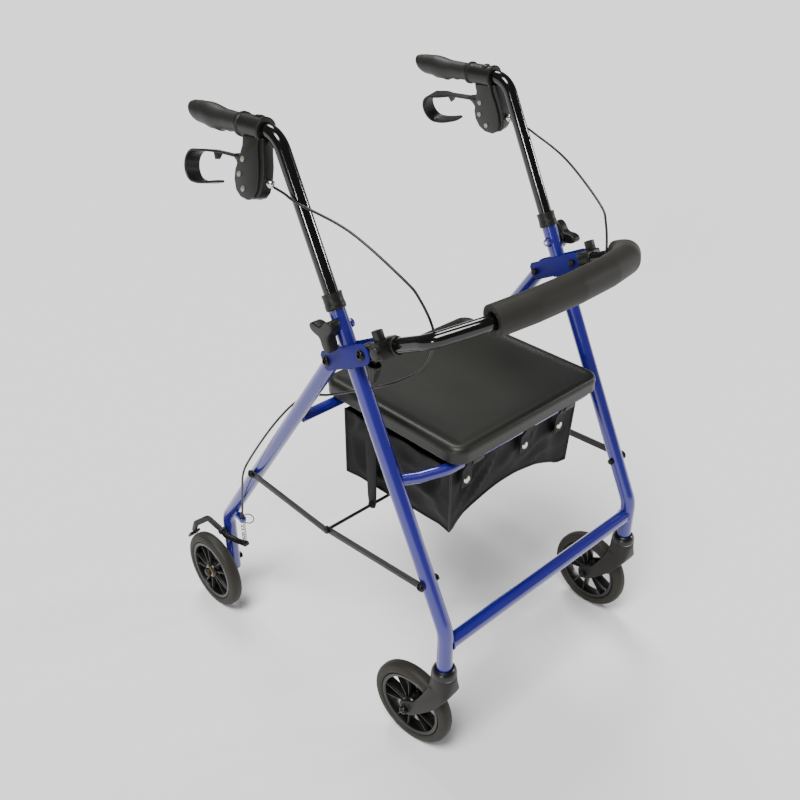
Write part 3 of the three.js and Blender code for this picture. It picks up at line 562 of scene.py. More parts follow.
def front_bolts(tag, sign):
    """Fold and backrest bolts through the plates, and the brace bolt through the leg."""
    for node, back, up in ((f"fold_bolt_{tag}", FOLD_BACK, 0),
                           (f"backrest_bolt_{tag}", HINGE_BACK, HINGE_UP)):
        shapes = dome_bolt(16.4) + [hex_nut(-21.6, -16.3, 6.5), rod(3.9, -22.6, 17)]
        placed = [on_side(moved(s, LEG @ shift(0, back, up)), sign) for s in shapes]
        piece(f"{node}_head", BOLT, "front_frame", "dark_metal", *placed, stands_for=[node])
    reach = 250 - LEG_X + 2.6
    shapes = dome_bolt(reach, 6.5, 4) + [hex_nut(-18, -13, 6), rod(3.4, -19, reach)]
    placed = [on_side(moved(s, shift(0, *BRACE_FRONT)), sign) for s in shapes]
    piece(f"front_brace_bolt_{tag}_head", BOLT, "front_frame", "dark_metal", *placed,
          stands_for=[f"front_brace_bolt_{tag}"])


def cross_tubes():
    """Lower tube between the stems, and the two tubes that carry the seat and the bag."""
    inner = LEG_X - LEG_R + 2.5
    lower = tube([(-inner, STEM_Y, CROSS_TUBE_Z), (inner, STEM_Y, CROSS_TUBE_Z)], CROSS_TUBE_R)
    piece("tube_lower", BLUE, "front_frame", "blue_paint", lower, stands_for=["front_cross_tube"])
    end = on_leg(0, up_leg(489))
    half = [Vector((LEG_X - 11.7, end.y - 3, 489.4)), Vector((203, -211, 490.5)),
            Vector((162, FRONT_TUBE_Y, TUBE_Z))]
    other = [Vector((-p.x, p.y, p.z)) for p in reversed(half)]
    front = tube(half + other, SEAT_TUBE_R, 40)
    piece("tube_seat_front", BLUE, "front_frame", "blue_paint", front, stands_for=["front_seat_tube"])
    inner = rear_leg_x(TUBE_Z) - LEG_R + 3.5
    rear = tube([(-inner, REAR_TUBE_Y, TUBE_Z), (inner, REAR_TUBE_Y, TUBE_Z)], SEAT_TUBE_R)
    piece("tube_seat_rear", BLUE, "rear_frame", "blue_paint", rear, stands_for=["rear_seat_tube"])


# ------------------------------------------------------------------ rear frame


def rear_leg_x(z):
    share = (z - REAR_BEND_Z) / (FOLD_POINT.z - REAR_BEND_Z)
    return REAR_X + (LEG_X - REAR_X) * share


def rear_leg(tag, sign):
    """Leg weldment with the cable's hook lug, its foot plug and its brace bolt."""
    top = Vector((LEG_X, FOLD_POINT.y, FOLD_POINT.z))
    knee = Vector((REAR_X, REAR_Y, REAR_BEND_Z))
    rise = (top - knee).normalized()
    radius = 12.4
    leg = tube([top + rise * 11.6, knee, (REAR_X, REAR_Y, REAR_FOOT_Z + 3)], radius, 42, 40)
    lug = prism([(0, 0), (22, 0), (22, 7), (8, 7), (0, 4)], -5, 5, 1.2)
    lug = moved(lug, shift(252, 197, 200.2))
    eye = lathe([(2.6, 0), (6.2, 0), (6.8, 1), (6.8, 6), (6.2, 7), (2.6, 7)], "Z", 32)
    eye = moved(eye, shift(252, 202, 200.1))
    lug_seam = bead([(250.5 + 5.5 * c, 219, 203.5 + 4.6 * s) for c, s in ring(1, 20)], 1.5, 11 + sign)
    shapes = [leg, lug, eye, lug_seam]
    piece(f"leg_rear_{tag}", BLUE, "rear_frame", "blue_paint", *[mirrored(s, sign) for s in shapes],
          stands_for=[f"rear_leg_{tag}"])
    plug = rod(radius - 0.5, REAR_FOOT_Z, REAR_FOOT_Z + 5, "Z")
    cap = moved(plug, shift(sign * REAR_X, REAR_Y, 0))
    piece(f"foot_plug_{tag}", BLACK_PLASTIC, "rear_frame", "black_plastic", cap)
    bolt_x = rear_leg_x(BRACE_REAR[1])
    reach = 260.2 - bolt_x + 2.6
    shapes = dome_bolt(reach, 6.5, 4) + [hex_nut(-18, -12.8, 6), rod(3.4, -19, reach)]
    placed = [on_side(moved(s, shift(0, *BRACE_REAR)), sign, bolt_x) for s in shapes]
    piece(f"rear_brace_bolt_{tag}_head", BOLT, "rear_frame", "dark_metal", *placed,
          stands_for=[f"rear_brace_bolt_{tag}"])
    rear_axle(tag, sign)


def rear_axle(tag, sign):
    """Axle with its spacer and nut, a brass trim ring and a domed cap outside the wheel."""
    hub_out = REAR_WHEEL_X + WHEEL_HALF + 0.3
    spacer = lathe([(3.9, 262), (8, 262), (8, 266), (7, 267), (7, 276), (8, 277), (8, 279.7),
                    (3.9, 279.7)], sides=32)
    shapes = [spacer, hex_nut(231.5, 236.3, 7), rod(3.9, 230, hub_out)]
    placed = [mirrored(moved(s, shift(0, REAR_Y, WHEEL_R)), sign) for s in shapes]
    piece(f"axle_rear_{tag}", BOLT, "rear_frame", "dark_metal", *placed, stands_for=[f"rear_axle_{tag}"])
    trim = lathe([(5, hub_out - 0.4), (10.4, hub_out - 0.4), (10.4, hub_out + 1), (9, hub_out + 2),
                  (5, hub_out + 2)])
    piece(f"axle_trim_{tag}", BRASS, "rear_frame", "dark_metal",
          mirrored(moved(trim, shift(0, REAR_Y, WHEEL_R)), sign))
    cap = lathe([(0, hub_out), (8.1, hub_out), (8.4, hub_out + 1), (8.4, hub_out + 4.5), (7.6, hub_out + 7),
                 (5.6, hub_out + 8.5), (2.6, hub_out + 9), (0, hub_out + 9)])
    piece(f"axle_cap_{tag}", GREY_PLASTIC, "rear_frame", "grey_plastic",
          mirrored(moved(cap, shift(0, REAR_Y, WHEEL_R)), sign))


def wheel(tag, sign, kind, body, centre):
    """Solid tyre with raised side bands, and a rim with paired spokes."""
    r, w = WHEEL_R, WHEEL_HALF
    half = [(RIM_R - 0.2, 7.5), (RIM_R + 0.6, w - 2.6), (RIM_R + 1.6, w - 1), (RIM_R + 3.4, w), (r - 9, w),
            (r - 7.6, w - 0.9), (r - 6.8, w - 1.1), (r - 5.6, w - 0.7), (r - 3.6, w - 1.9), (r - 1.6, w - 4),
            (r - 0.4, w - 6.6), (r, w - 9)]
    profile = half + [(a, -b) for a, b in reversed(half)]
    piece(f"{kind}_tyre_{tag}_skin", TYRE, body, "tyre", moved(lathe(profile, sides=96), centre),
          stands_for=[f"{kind}_tyre_{tag}"], smooth=math.radians(50))
    rim_r = RIM_R - 0.3
    rim = lathe([(rim_r - 7, -6), (rim_r - 6, -9.6), (rim_r - 4.5, -10.4), (rim_r - 0.6, -10.4),
                 (rim_r, -9.6), (rim_r, 9.6), (rim_r - 0.6, 10.4), (rim_r - 4.5, 10.4), (rim_r - 6, 9.6),
                 (rim_r - 7, 6)], sides=96)
    boss = lathe([(4.2, -12), (12, -12), (14, -10.5), (15, -7), (15, 7), (14, 10.5), (12, 12), (4.2, 12)],
                 sides=48)
    collar = lathe([(14.5, -5), (19, -2.4), (19, 2.4), (14.5, 5)], sides=48)
    spokes = []
    for i in range(5):
        for lean in (-1, 1):
            angle = math.radians(72 * i + 11 * lean)
            spoke = prism([(13, -2.2), (rim_r - 5, -3.6), (rim_r - 5, -0.2), (13, 2.2)] if lean < 0 else
                          [(13, -2.2), (rim_r - 5, 0.2), (rim_r - 5, 3.6), (13, 2.2)], -6.5, 6.5, 0.8)
            web = prism([(13, -1), (rim_r - 5, lean * 1.9 - 0.8), (rim_r - 5, lean * 1.9 + 0.8), (13, 1)],
                        -9, 9, 0.4)
            spokes += [moved(s, Matrix.Rotation(angle, 4, "X")) for s in (spoke, web)]
    shapes = [moved(s, centre) for s in (rim, boss, collar, *spokes)]
    piece(f"{kind}_hub_{tag}_spokes", DARK_PLASTIC, body, "black_plastic", *shapes,
          stands_for=[f"{kind}_hub_{tag}"])


def fork():
    """Round crown that widens into two cheeks, which sweep back and down to the axle."""
    levels = ((182, -19.4, 19.4, 2), (180.5, -20.6, 20.6, 2), (172, -20.6, 20.6, 2.1),
              (163, -20.5, 20.5, 2.6), (156, -20.3, 20.3, 3.4), (149, -19.6, 19, 5), (141, -15.5, 15, 7),
              (134, -10.8, 5, 8))
    stations = [(Vector((0, (front + back) / 2, z)), Vector((0, 0, -1))) for z, front, back, _ in levels]
    sections = [squarish(20.5, (back - front) / 2, power) for _, front, back, power in levels]
    hood = swept(stations, sections, across=(1, 0, 0))
    outline = [(-6, 158), (-13, 151), (-14, 143), (-8, 130), (4, 112), (26, 88.5), (TRAIL - 12, 67),
               *arc(TRAIL, WHEEL_R, 14, 225, 405, 18), (TRAIL - 15, 100), (35, 118), (20, 146), (14, 160)]
    cheeks = [prism(outline, low, high, 2.4, 5) for low, high in ((14.4, 20.6), (-20.6, -14.4))]
    bosses = [moved(rod(10.5, low, high, edge=1), shift(0, TRAIL, WHEEL_R))
              for low, high in ((19, 21.6), (-21.6, -19))]
    return [hood, *cheeks, *bosses]


def caster(tag, sign):
    """Swivelling fork with its dust cap and race ring, its wheel and the wheel's bolt."""
    place = shift(sign * LEG_X, STEM_Y, 0) @ Matrix.Rotation(CASTER_YAW[tag], 4, "Z")
    piece(f"fork_{tag}", GREY_PLASTIC, f"caster_{tag}", "grey_plastic", *[moved(s, place) for s in fork()],
          stands_for=[f"caster_fork_{tag}"], smooth=math.radians(50))
    ring_cap = lathe([(13.6, 186), (13.2, 196), (15, 197), (18.4, 194), (20.2, 188), (20.4, 182.5),
                      (18.6, 181.6),
                      (13.6, 181.6)], "Z", 64)
    piece(f"dust_cap_{tag}", DARK_PLASTIC, f"caster_{tag}", "black_plastic", moved(ring_cap, place))
    groove = lathe([(18.6, 180.8), (19.8, 180.8), (20, 181.8), (19.8, 182.8), (18.6, 182.8)], "Z", 64)
    piece(f"race_ring_{tag}", STEEL, f"caster_{tag}", "steel", moved(groove, place))
    centre = place @ shift(0, TRAIL, WHEEL_R)
    wheel(tag, sign, "caster", f"caster_wheel_{tag}", centre)
    head = lathe([(0, 20.5), (8.6, 20.5), (9, 21.2), (9, 22.4), (7.4, 23), (7.4, 26.6), (6.4, 28.4),
                  (4.2, 29), (3.4, 27.6),
                  (0, 27.6)], sides=36)
    tail = moved(head, MIRROR_X)
    shapes = [moved(s, centre) for s in (head, tail, rod(3.9, -21, 21))]
    piece(f"caster_axle_{tag}_bolt", BOLT, f"caster_wheel_{tag}", "dark_metal", *shapes,
          stands_for=[f"caster_axle_{tag}"])


# ------------------------------------------------------------------ brakes at the rear wheels


def brake_gear(tag, sign):
    brake_arm(tag, sign)
    brake_spring(tag, sign)
    cable_end(tag, sign)


def brake_arm(tag, sign):
    """Flat bent arm from the cable's clevis, past its pin, to the shoe over the tyre."""
    strip = bent([(252, 199, 146), (258, 218, 146), (269, 242, 152), (271, 256, 161), (279, 281, 176),
                  (291, 308, 154), (292, 317, 131)], 6, 15)
    flat = squarish(5.6, 2.8, 4, 24)
    arm = swept(strip, flat, across=(0, 0.5, 1))
    pin = moved(rod(5.6, 262, 276, edge=1), shift(0, 250, 158))
    shoe = moved(box(-11, 11, -9, 9, -2.4, 2.4, 1.4),
                 shift(292, 318.2, 126) @ Matrix.Rotation(-math.radians(52), 4, "X"))
    clevis = [box(246.5, 257.5, 196, 208, 143, 149.5, 1.2), moved(rod(2.4, 245, 259), shift(0, 202, 146.2))]
    shapes = [mirrored(s, sign) for s in (arm, pin, shoe, *clevis)]
    piece(f"brake_arm_{tag}_strip", DARK_METAL, f"brake_arm_{tag}", "dark_metal", *shapes,
          stands_for=[f"brake_arm_{tag}"])


def brake_spring(tag, sign):
    """Return spring round the inner wire."""
    turns = 11
    coil = []
    for i in range(turns * 16 + 1):
        a = 2 * math.pi * i / 16
        coil.append((252 + 3.7 * math.cos(a), 202 + 3.7 * math.sin(a), 153.8 + 44.6 * i / (turns * 16)))
    spring = swept(curved(coil, 1), ring(0.75, 8))
    wire = tube([(252, 202, 153.2), (252, 202, 203)], 0.9, sides=10)
    piece(f"brake_coil_{tag}", STEEL, "rear_frame", "steel", mirrored(spring, sign), mirrored(wire, sign),
          stands_for=[f"brake_spring_{tag}"])


def cable_end(tag, sign):
    """Ferrule on the hook lug, and the loop of spare wire beside it."""
    ferrule = lathe([(0, 206), (3.6, 206), (3.8, 209), (3, 211), (3, 217), (2.6, 219), (0, 219)], "Z", 24)
    piece(f"ferrule_{tag}", DARK_METAL, "rear_frame", "dark_metal",
          mirrored(moved(ferrule, shift(252, 202, 0)), sign))
    loop = [(252 - 7.3 * (1 + math.cos(a)), 202 - 7.3 * (1 + math.cos(a)), 205 + 10.5 * math.sin(a))
            for a in [math.radians(18 * i + 170) for i in range(20)]]
    tail = swept(curved(loop, 3), ring(1.0, 8))
    piece(f"wire_loop_{tag}", CABLE_JACKET, "rear_frame", "cable_jacket", mirrored(tail, sign))


# ------------------------------------------------------------------ handles


GRIP_START = 119
GRIP_END_TOP = 243
GRIP_END_UNDER = 223
GRIP_TOP = ((0, 15.4), (0.06, 14.4), (0.3, 14.6), (0.64, 18.6), (0.82, 17.4), (0.95, 15.8), (1, 14.2))
GRIP_UNDER = ((0, 15), (0.06, 14), (0.22, 14.2), (0.58, 18.4), (0.8, 15.6), (0.95, 14.8), (1, 13))
GRIP_SIDE = ((0, 15.2), (0.06, 14.2), (0.25, 14.4), (0.62, 17.8), (0.85, 17), (0.96, 16.2), (1, 14.8))


def hand_grip():
    """Moulded grip: slim neck, crest on top, palm swell and finger ridges below, slanted end."""
    count = 70
    loops = []
    for i in range(count + 1):
        t = i / count
        ridge = max(0.0, math.sin((t - 0.2) * math.pi * 9)) if 0.2 < t < 0.86 else 0.0
        loop = []
        for c, s in ring(1, 48):
            end = GRIP_END_UNDER + (GRIP_END_TOP - GRIP_END_UNDER) * (s + 1) / 2
            height = between(GRIP_TOP, t) if s > 0 else between(GRIP_UNDER, t) + 1.7 * ridge * s * s
            loop.append((between(GRIP_SIDE, t) * c, GRIP_START + (end - GRIP_START) * t, height * s))
        loops.append(loop)
    return skin(loops)


def handle(tag, sign):
    """Bent tube and its grip, with the brake housing and lever below."""
    body = f"handle_{tag}"
    end = HANDLE_AXIS @ Vector((0, HANDLE_END_Y, 0))
    bar = tube([on_leg(0, -80), HANDLE_CORNER, end], HANDLE_R, 38, 40)
    piece(f"handle_{tag}_bar", BLACK_TUBE, body, "black_tube", on_side(bar, sign),
          stands_for=[f"handle_tube_{tag}"])
    grip = moved(hand_grip(), HANDLE_AXIS)
    piece(f"grip_{tag}", GRIP_RUBBER, body, "grip_rubber", on_side(grip, sign),
          stands_for=[f"hand_grip_{tag}"],
          smooth=math.radians(60))
    roll = HANDLE_AXIS @ Matrix.Rotation(-BRAKE_ROLL, 4, "Y")
    brake_housing(tag, sign, roll)
    lever(tag, sign, roll)


def brake_housing(tag, sign, roll):
    """Clamped housing: two shaped cheeks on a core, rivets and the cable adjuster."""
    body = f"handle_{tag}"
    shell = [(63, -10), (62, -26), (57, -42), (54, -62), (54.5, -80), (60, -92), (74, -99), (91, -97.5),
             (103, -90), (109.5, -76), (109.5, -62), (103, -43), (98, -26),
             (99, -12)]
    core = [(56, -10), (52, -30), (47.5, -48), (46.5, -68), (49.5, -84), (57, -93), (72, -97.5), (88, -96),
            (99, -87), (104, -72), (98, -40), (95, -12)]
    cheeks = [prism(shell, a, b, 2.2, 4) for a, b in ((5.8, 13), (-13, -5.8))]
    body_core = prism(core, -9.2, 9.2, 1.8, 3)
    clamp = lathe([(HANDLE_R + 0.2, 61.5), (16.4, 61.5), (18, 63), (18, 66.5), (16.2, 68.5),
                   (16.2, 110.5), (18, 112.5), (18, 116.5), (16.4, 118),
                   (HANDLE_R + 0.2, 118)], "Y", 56)
    lump = box(-6, 6, 74, 84, 13, 18.4, 2)
    piece(f"brake_body_{tag}", BLACK_PLASTIC, body, "black_plastic",
          *[on_side(moved(s, roll), sign) for s in (*cheeks, body_core, clamp, lump)],
          stands_for=[f"brake_housing_{tag}"])
    heads = []
    for y, z in ((93, -45), (97.7, -66.5), (85.4, -85)):
        head = lathe([(0, 15), (2.6, 15), (3.9, 14.2), (4.3, 13), (4.3, 12), (0, 12)], sides=24)
        heads += [moved(head, shift(0, y, z)), moved(head, shift(0, y, z) @ MIRROR_X)]
    piece(f"brake_rivets_{tag}", RIVET, body, "steel", *[on_side(moved(s, roll), sign) for s in heads])
    ball = lathe([(0, 37.5), (2.2, 37.6), (3.4, 38.6), (5.2, 40.4), (6.1, 43.4), (6.1, 46), (5.2, 49),
                  (4.4, 50), (4.4, 53),
                  (0, 53)], "Y", 36)
    ball = moved(ball, shift(0, -3.5, -69))
    piece(f"adjuster_{tag}", STEEL, body, "steel", on_side(moved(ball, roll), sign))


def lever(tag, sign, roll):
    """A tang with a gusset, a narrow bar and a wide hooked loop in one moulding."""
    tang = prism([(84, -39), (100, -37), (128, -43.2), (128, -47), (120, -52), (113, -62), (111, -76),
                  (106, -88), (101, -86), (104, -72), (98, -58),
                  (86, -52)], -4.2, 4.2, 0.8)
    tooth = prism([(164, -49), (170, -59), (173, -60), (178, -50.5)], -4, 4, 0.6)
    line = [(112, -45.8), (140, -46.6), (163, -47.6), (186, -49.6), (204, -52.2)]
    line += arc(215, -77, 23, 78, -88, 20)
    line += [(202, -99.4), (184, -96), (160, -89.4)]
    path = curved([(0, y, z) for y, z in line], 3)
    sections = []
    for place, _ in path:
        wide = between(((0, 5.8), (166, 5.8), (198, 13.2), (400, 13.2)), place.y)
        if place.z < -80:
            wide = between(((160, 7), (163, 9.6), (170, 11.4), (195, 13.2), (400, 13.2)), place.y)
        thick = 1.7
        sections.append([(wide * 0.94, -thick), (wide, -thick * 0.5), (wide, thick * 0.5),
                         (wide * 0.94, thick), (-wide * 0.94, thick), (-wide, thick * 0.5),
                         (-wide, -thick * 0.5),
                         (-wide * 0.94, -thick)])
    band = swept(path, sections, across=(1, 0, 0))
    piece(f"lever_{tag}_band", BLACK_PLASTIC, f"lever_{tag}", "black_plastic",
          *[on_side(moved(s, roll), sign) for s in (tang, tooth, band)], stands_for=[f"brake_lever_{tag}"])


KNOB_TURN = 1.45


def height_knob(tag, sign):
    """Three-lobed knob with a hub and a stud into the leg."""
    lobes = []
    for i in range(90):
        a = 2 * math.pi * i / 90
        radius = 18.6 + 8.8 * math.cos(3 * a) + 1.6 * math.cos(6 * a)
        lobes.append((radius * math.cos(a + KNOB_TURN), radius * math.sin(a + KNOB_TURN)))
    head = prism(lobes, 20, 38, 2.6, 5)
    hub = lathe([(0, 14.8), (8, 14.8), (9.4, 16), (9.4, 20), (0, 20)])
    stud = rod(3.9, 12, 16)
    turned = Matrix.Rotation(math.pi if sign < 0 else 0, 4, "Y")
    place = shift(sign * LEG_X, 0, 0) @ LEG @ shift(0, 0, KNOB_UP) @ turned
    piece(f"height_knob_{tag}_lobes", BLACK_PLASTIC, f"height_knob_{tag}", "black_plastic",
          *[moved(s, place) for s in (head, hub, stud)], stands_for=[f"height_knob_{tag}"],
          smooth=math.radians(45))


THUMB_HEIGHT = 30
THUMB_LEAN = math.radians(12)


def thumb_screw(tag, sign):
    """Fluted, tapered screw under the backrest's hinge block."""
    stations = []
    sections = []
    for i in range(23):
        t = i / 22
        width = 10.2 - 4.6 * t
        if t > 0.9:
            width *= 1 - 3.2 * (t - 0.9)
        if t < 0.06:
            width *= 0.9 + 0.1 * t / 0.06
        depth = 0.12 if 0.08 < t else 0.0
        outline = []
        for k in range(64):
            a = 2 * math.pi * k / 64
            r = width * (1 + depth * (abs(math.cos(3.5 * a)) - 0.5))
            outline.append((r * math.cos(a), r * math.sin(a)))
        stations.append((Vector((0, 0, -THUMB_HEIGHT * t)), Vector((0, 0, -1))))
        sections.append(outline)
    screw = swept(stations, sections, across=(1, 0, 0))
    shank = rod(3, -0.6, 16, "Z", 20)
    place = shift(0, HINGE_POINT.y - 11, HINGE_POINT.z - 16) @ Matrix.Rotation(THUMB_LEAN, 4, "X")
    piece(f"thumb_screw_{tag}", BLACK_PLASTIC, f"wing_knob_{tag}", "black_plastic",
          *[on_side(moved(s, place), sign) for s in (screw, shank)], stands_for=[f"wing_knob_{tag}"],
          smooth=math.radians(50))


# ------------------------------------------------------------------ backrest

BAR_HALF = [(218, 26), (218, 110), (158, 152), (82, 174), (0, 181)]


def backrest():
    """Curved bar between the hinge blocks, with a foam sleeve that sits off centre."""
    near = [(-x, y, 0) for x, y in BAR_HALF]
    far = [(x, y, 0) for x, y in BAR_HALF[-2::-1]]
    bar = moved(tube(near + far, 11, 30, 40), BACKREST)
    piece("backrest_bar", BLACK_TUBE, "backrest", "black_tube", bar, stands_for=["backrest_tube"])
    corners = [(-143, 156.3), (-82, 174), (0, 181), (82, 174), (158, 152), (218, 110), (218, 92)]
    line = bent([(x, y, 0) for x, y in corners], 30, 4)
    sleeve = piece("foam_sleeve", FOAM, "backrest", "foam", moved(foam_skin(line), BACKREST),
                   stands_for=["backrest_foam"], smooth=math.radians(60))


def foam_skin(line):
    """Round sleeve along a line, with soft ends that turn in to the bar."""
    count = 56
    points, faces = swept(line, ring(FOAM_R, count))
    faces = faces[2:]
    for end, (place, tangent) in ((0, line[0]), (len(line) - 1, line[-1])):
        base = end * count
        edge = points[base:base + count]
        sets = [list(range(base, base + count))]
        inward = tangent if end == 0 else -tangent
        for shrink, sink in ((0.955, -0.9), (0.9, -1.1), (0.58, -0.7), (0.53, 0.6), (0.52, 6)):
            sets.append(list(range(len(points), len(points) + count)))
            points += [place + (p - place) * shrink + inward * (sink + 0.9) for p in edge]
        for a, b in zip(sets, sets[1:]):
            faces += [[a[i], a[(i + 1) % count], b[(i + 1) % count], b[i]] for i in range(count)]
    return points, faces


def socket(tag, sign):
    """Hinge block between the plates with its tube socket, tab and side button; drawn for the right."""
    lug = rod(12.5, -12.6, 12.6, edge=0.8)
    neck = box(-12.4, 12.4, 0, 24, -11, 11, 1)
    block = box(-12, 26, 18.5, 40, -14, 13, 3)
    tab = box(-6, 6, 24, 37.5, -29, -12, 1.4)
    button = moved(lathe([(0, -17.5), (5.5, -17.5), (8.2, -16.8), (9, -15), (9, -11), (0, -11)],
                         sides=36), shift(0, 30, 1))
    collar = moved(lathe([(11.3, 38), (13.4, 38), (13.7, 39.5), (13.4, 44), (12.6, 45.4), (11.3, 45.4)],
                         "Y", 40),
                   shift(17, 0, 0))
    lip = moved(lathe([(11.3, 22), (13, 22), (13, 39), (11.3, 39)], "Y", 40), shift(17, 0, 0))
    shapes = [lug, neck, block, tab, button, collar, lip]
    flip = Matrix.Identity(4) if sign < 0 else MIRROR_X
    placed = [moved(s, shift(sign * LEG_X, 0, 0) @ BACKREST @ flip) for s in shapes]
    piece(f"socket_{tag}", BLACK_PLASTIC, "backrest", "black_plastic", *placed,
          stands_for=[f"backrest_socket_{tag}"])


# ------------------------------------------------------------------ seat


def seat_ring(inset, z, corner, count=14):
    """Points round the seat at a height, a distance in from its edge."""
    x = SEAT_X - inset
    y0 = SEAT_Y0 + inset
    y1 = SEAT_Y1 - inset
    r = max(corner - inset, 3)
    points = []
    for cx, cy, start in ((x - r, y0 + r, -90), (x - r, y1 - r, 0), (-x + r, y1 - r, 90),
                          (-x + r, y0 + r, 180)):
        for i in range(count + 1):
            a = math.radians(start + 90 * i / count)
            points.append(Vector((cx + r * math.cos(a), cy + r * math.sin(a), z)))
    return points


def seat():
    """Moulded cushion: lip, rolled side and a broad soft border round a slightly dished top."""
    profile = [(20, SEAT_Z0 + 1.2), (6, SEAT_Z0 + 0.8), (2.2, SEAT_Z0 + 1), (0.9, SEAT_Z0 + 2.2),
               (0.6, SEAT_Z0 + 4), (0.8, SEAT_Z0 + 13), (0.2, SEAT_Z0 + 16.5), (0.1, SEAT_Z0 + 19),
               (0.9, SEAT_Z0 + 22.5), (2.8, SEAT_Z0 + 25.8), (6, SEAT_Z0 + 28.2), (10, SEAT_Z0 + 29.2),
               (14, SEAT_Z0 + 29.2), (18, SEAT_Z0 + 28.4), (22, SEAT_Z0 + 27.6), (30, SEAT_Z0 + 27.2),
               (60, SEAT_Z0 + 27.4), (100, SEAT_Z0 + 27.8),
               (130, SEAT_Z0 + 28)]
    rings = [seat_ring(inset, z, 26) for inset, z in profile]
    cushion = piece("cushion", VINYL, "seat", "vinyl", skin(rings), stands_for=["seat_pad"],
                    smooth=math.radians(70))
    board = box(-156, 156, SEAT_Y0 + 14, SEAT_Y1 - 14, 507.2, 512.4, 1)
    ribs = [box(x - 2, x + 2, -205, -20, 500.5, 508, 0.8) for x in (-120, -60, 60, 120)]
    clips = []
    for x in (-110, 110):
        clips.append(moved(lathe([(9.4, -12), (12.4, -12), (12.6, -10), (12.6, 10), (12.4, 12), (9.4, 12)]),
                           shift(x, FRONT_TUBE_Y, TUBE_Z)))
    piece("seat_board", BLACK_PLASTIC, "seat", "black_plastic", board, *ribs, *clips,
          stands_for=["seat_base"])


# ------------------------------------------------------------------ basket

BAG_X = 150
BAG_Y0 = -226
BAG_Y1 = 16
BAG_TOP = 486
BAG_TUCK = 14


def bag_floor(x, y):
    """Height of the bag's bottom: it hangs from its corners and lifts in the middle of the front."""
    u = (x + BAG_X) / (2 * BAG_X)
    v = (y - BAG_Y0) / (BAG_Y1 - BAG_Y0)
    front = 369 + 34 * math.sin(math.pi * min(1, max(0, (u - 0.02) / 0.9))) ** 0.7
    back = 361
    low = front + (back - front) * min(1, v * 1.5)
    return low + 3 * noise.noise(Vector((x, y, 3)) * 0.018)


def bag_wall(x, y, depth):
    """How far a wall stands out: a belly, slanting folds and sharp creases between them."""
    belly = 4.5 * math.sin(math.pi * min(1, depth * 1.05)) * (0.5 + 0.5 * depth)
    wave = 7.5 * noise.noise(Vector((x * 0.022, y * 0.022, depth * 1.6 + 4)))
    crease = 6.5 * (1 - abs(noise.noise(Vector((x * 0.024 + depth * 2.2, y * 0.024, depth * 0.9)))) * 3)
    return belly + (wave + crease - 3) * math.sin(math.pi * min(1, depth + 0.04)) ** 0.7 - 5 * depth


def bag_ring(depth):
    """One loop of the bag's wall."""
    loop = []
    steps = 34
    corners = [(-BAG_X, BAG_Y0), (BAG_X, BAG_Y0), (BAG_X, BAG_Y1), (-BAG_X, BAG_Y1)]
    normals = [(0, -1), (1, 0), (0, 1), (-1, 0)]
    for k in range(4):
        (x0, y0), (x1, y1) = corners[k], corners[(k + 1) % 4]
        nx, ny = normals[k]
        for i in range(steps):
            t = i / steps
            x, y = x0 + (x1 - x0) * t, y0 + (y1 - y0) * t
            edge = min(1.0, min(t, 1 - t) * 9)
            push = bag_wall(x, y, depth) * edge
            top = BAG_TOP - (2.5 if k == 0 else 0)
            z = top + (bag_floor(x, y) - top) * depth
            tuck = BAG_TUCK * depth * max(0, x / BAG_X)
            loop.append(Vector((x - tuck + nx * push, y + ny * push, z)))
    return loop


BAG_ROWS = 26


def bag_surface():
    """Folded walls, a floor that sags between its corners, and an open top."""
    rows = BAG_ROWS
    loops = [bag_ring(i / rows) for i in range(rows + 1)]
    n = len(loops[0])
    points, faces = bands(loops)
    steps = n // 4
    base = {}
    for a in range(steps + 1):
        for b in range(steps + 1):
            rim = rows * n
            if b == 0:
                base[a, b] = rim + a
            elif a == steps:
                base[a, b] = rim + steps + b
            elif b == steps:
                base[a, b] = rim + 3 * steps - a
            elif a == 0:
                base[a, b] = rim + (4 * steps - b) % n
            else:
                x = -BAG_X + 2 * BAG_X * a / steps
                tucked = x - BAG_TUCK * max(0, x / BAG_X)
                y = BAG_Y0 + (BAG_Y1 - BAG_Y0) * b / steps
                base[a, b] = len(points)
                points.append(Vector((tucked, y, bag_floor(x, y))))
    for a in range(steps):
        for b in range(steps):
            faces.append([base[a, b], base[a + 1, b], base[a + 1, b + 1], base[a, b + 1]])
    return points, faces


def basket():
    """Hanging nylon bag with its bound edges, tabs and snaps."""
    bag = piece("bag", NYLON, None, "nylon", bag_surface(), stands_for=["basket"], smooth=math.radians(60))
    thick = bag.modifiers.new("thickness", "SOLIDIFY")
    thick.thickness = 0.0012
    thick.offset = -1
    trim = [("bag_piping", PIPING, bag_piping()), ("bag_tabs", WEBBING, bag_tabs())]
    parts = [bag]
    for name, material, shapes in trim:
        parts.append(piece(name, material, None, "nylon", *shapes))
    parts.append(piece("bag_snaps", STEEL, None, "steel", *bag_snaps()))
    for part in parts:
        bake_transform(part)


def bag_piping():
    """Bound edges down the corners and round the floor."""
    rows = BAG_ROWS
    rings = [bag_ring(i / rows) for i in range(rows + 1)]
    n = len(rings[0])
    lines = [[rings[i][k * n // 4] for i in range(rows + 1)] for k in range(4)]
    lines.append([p for p in rings[rows][:n // 4 + 1]])
    lines.append([p for p in rings[rows][3 * n // 4:]] + [rings[rows][0]])
    return [swept(curved(line, 1), ring(1.7, 8)) for line in lines]


SNAPS = (-124, 11, 98)


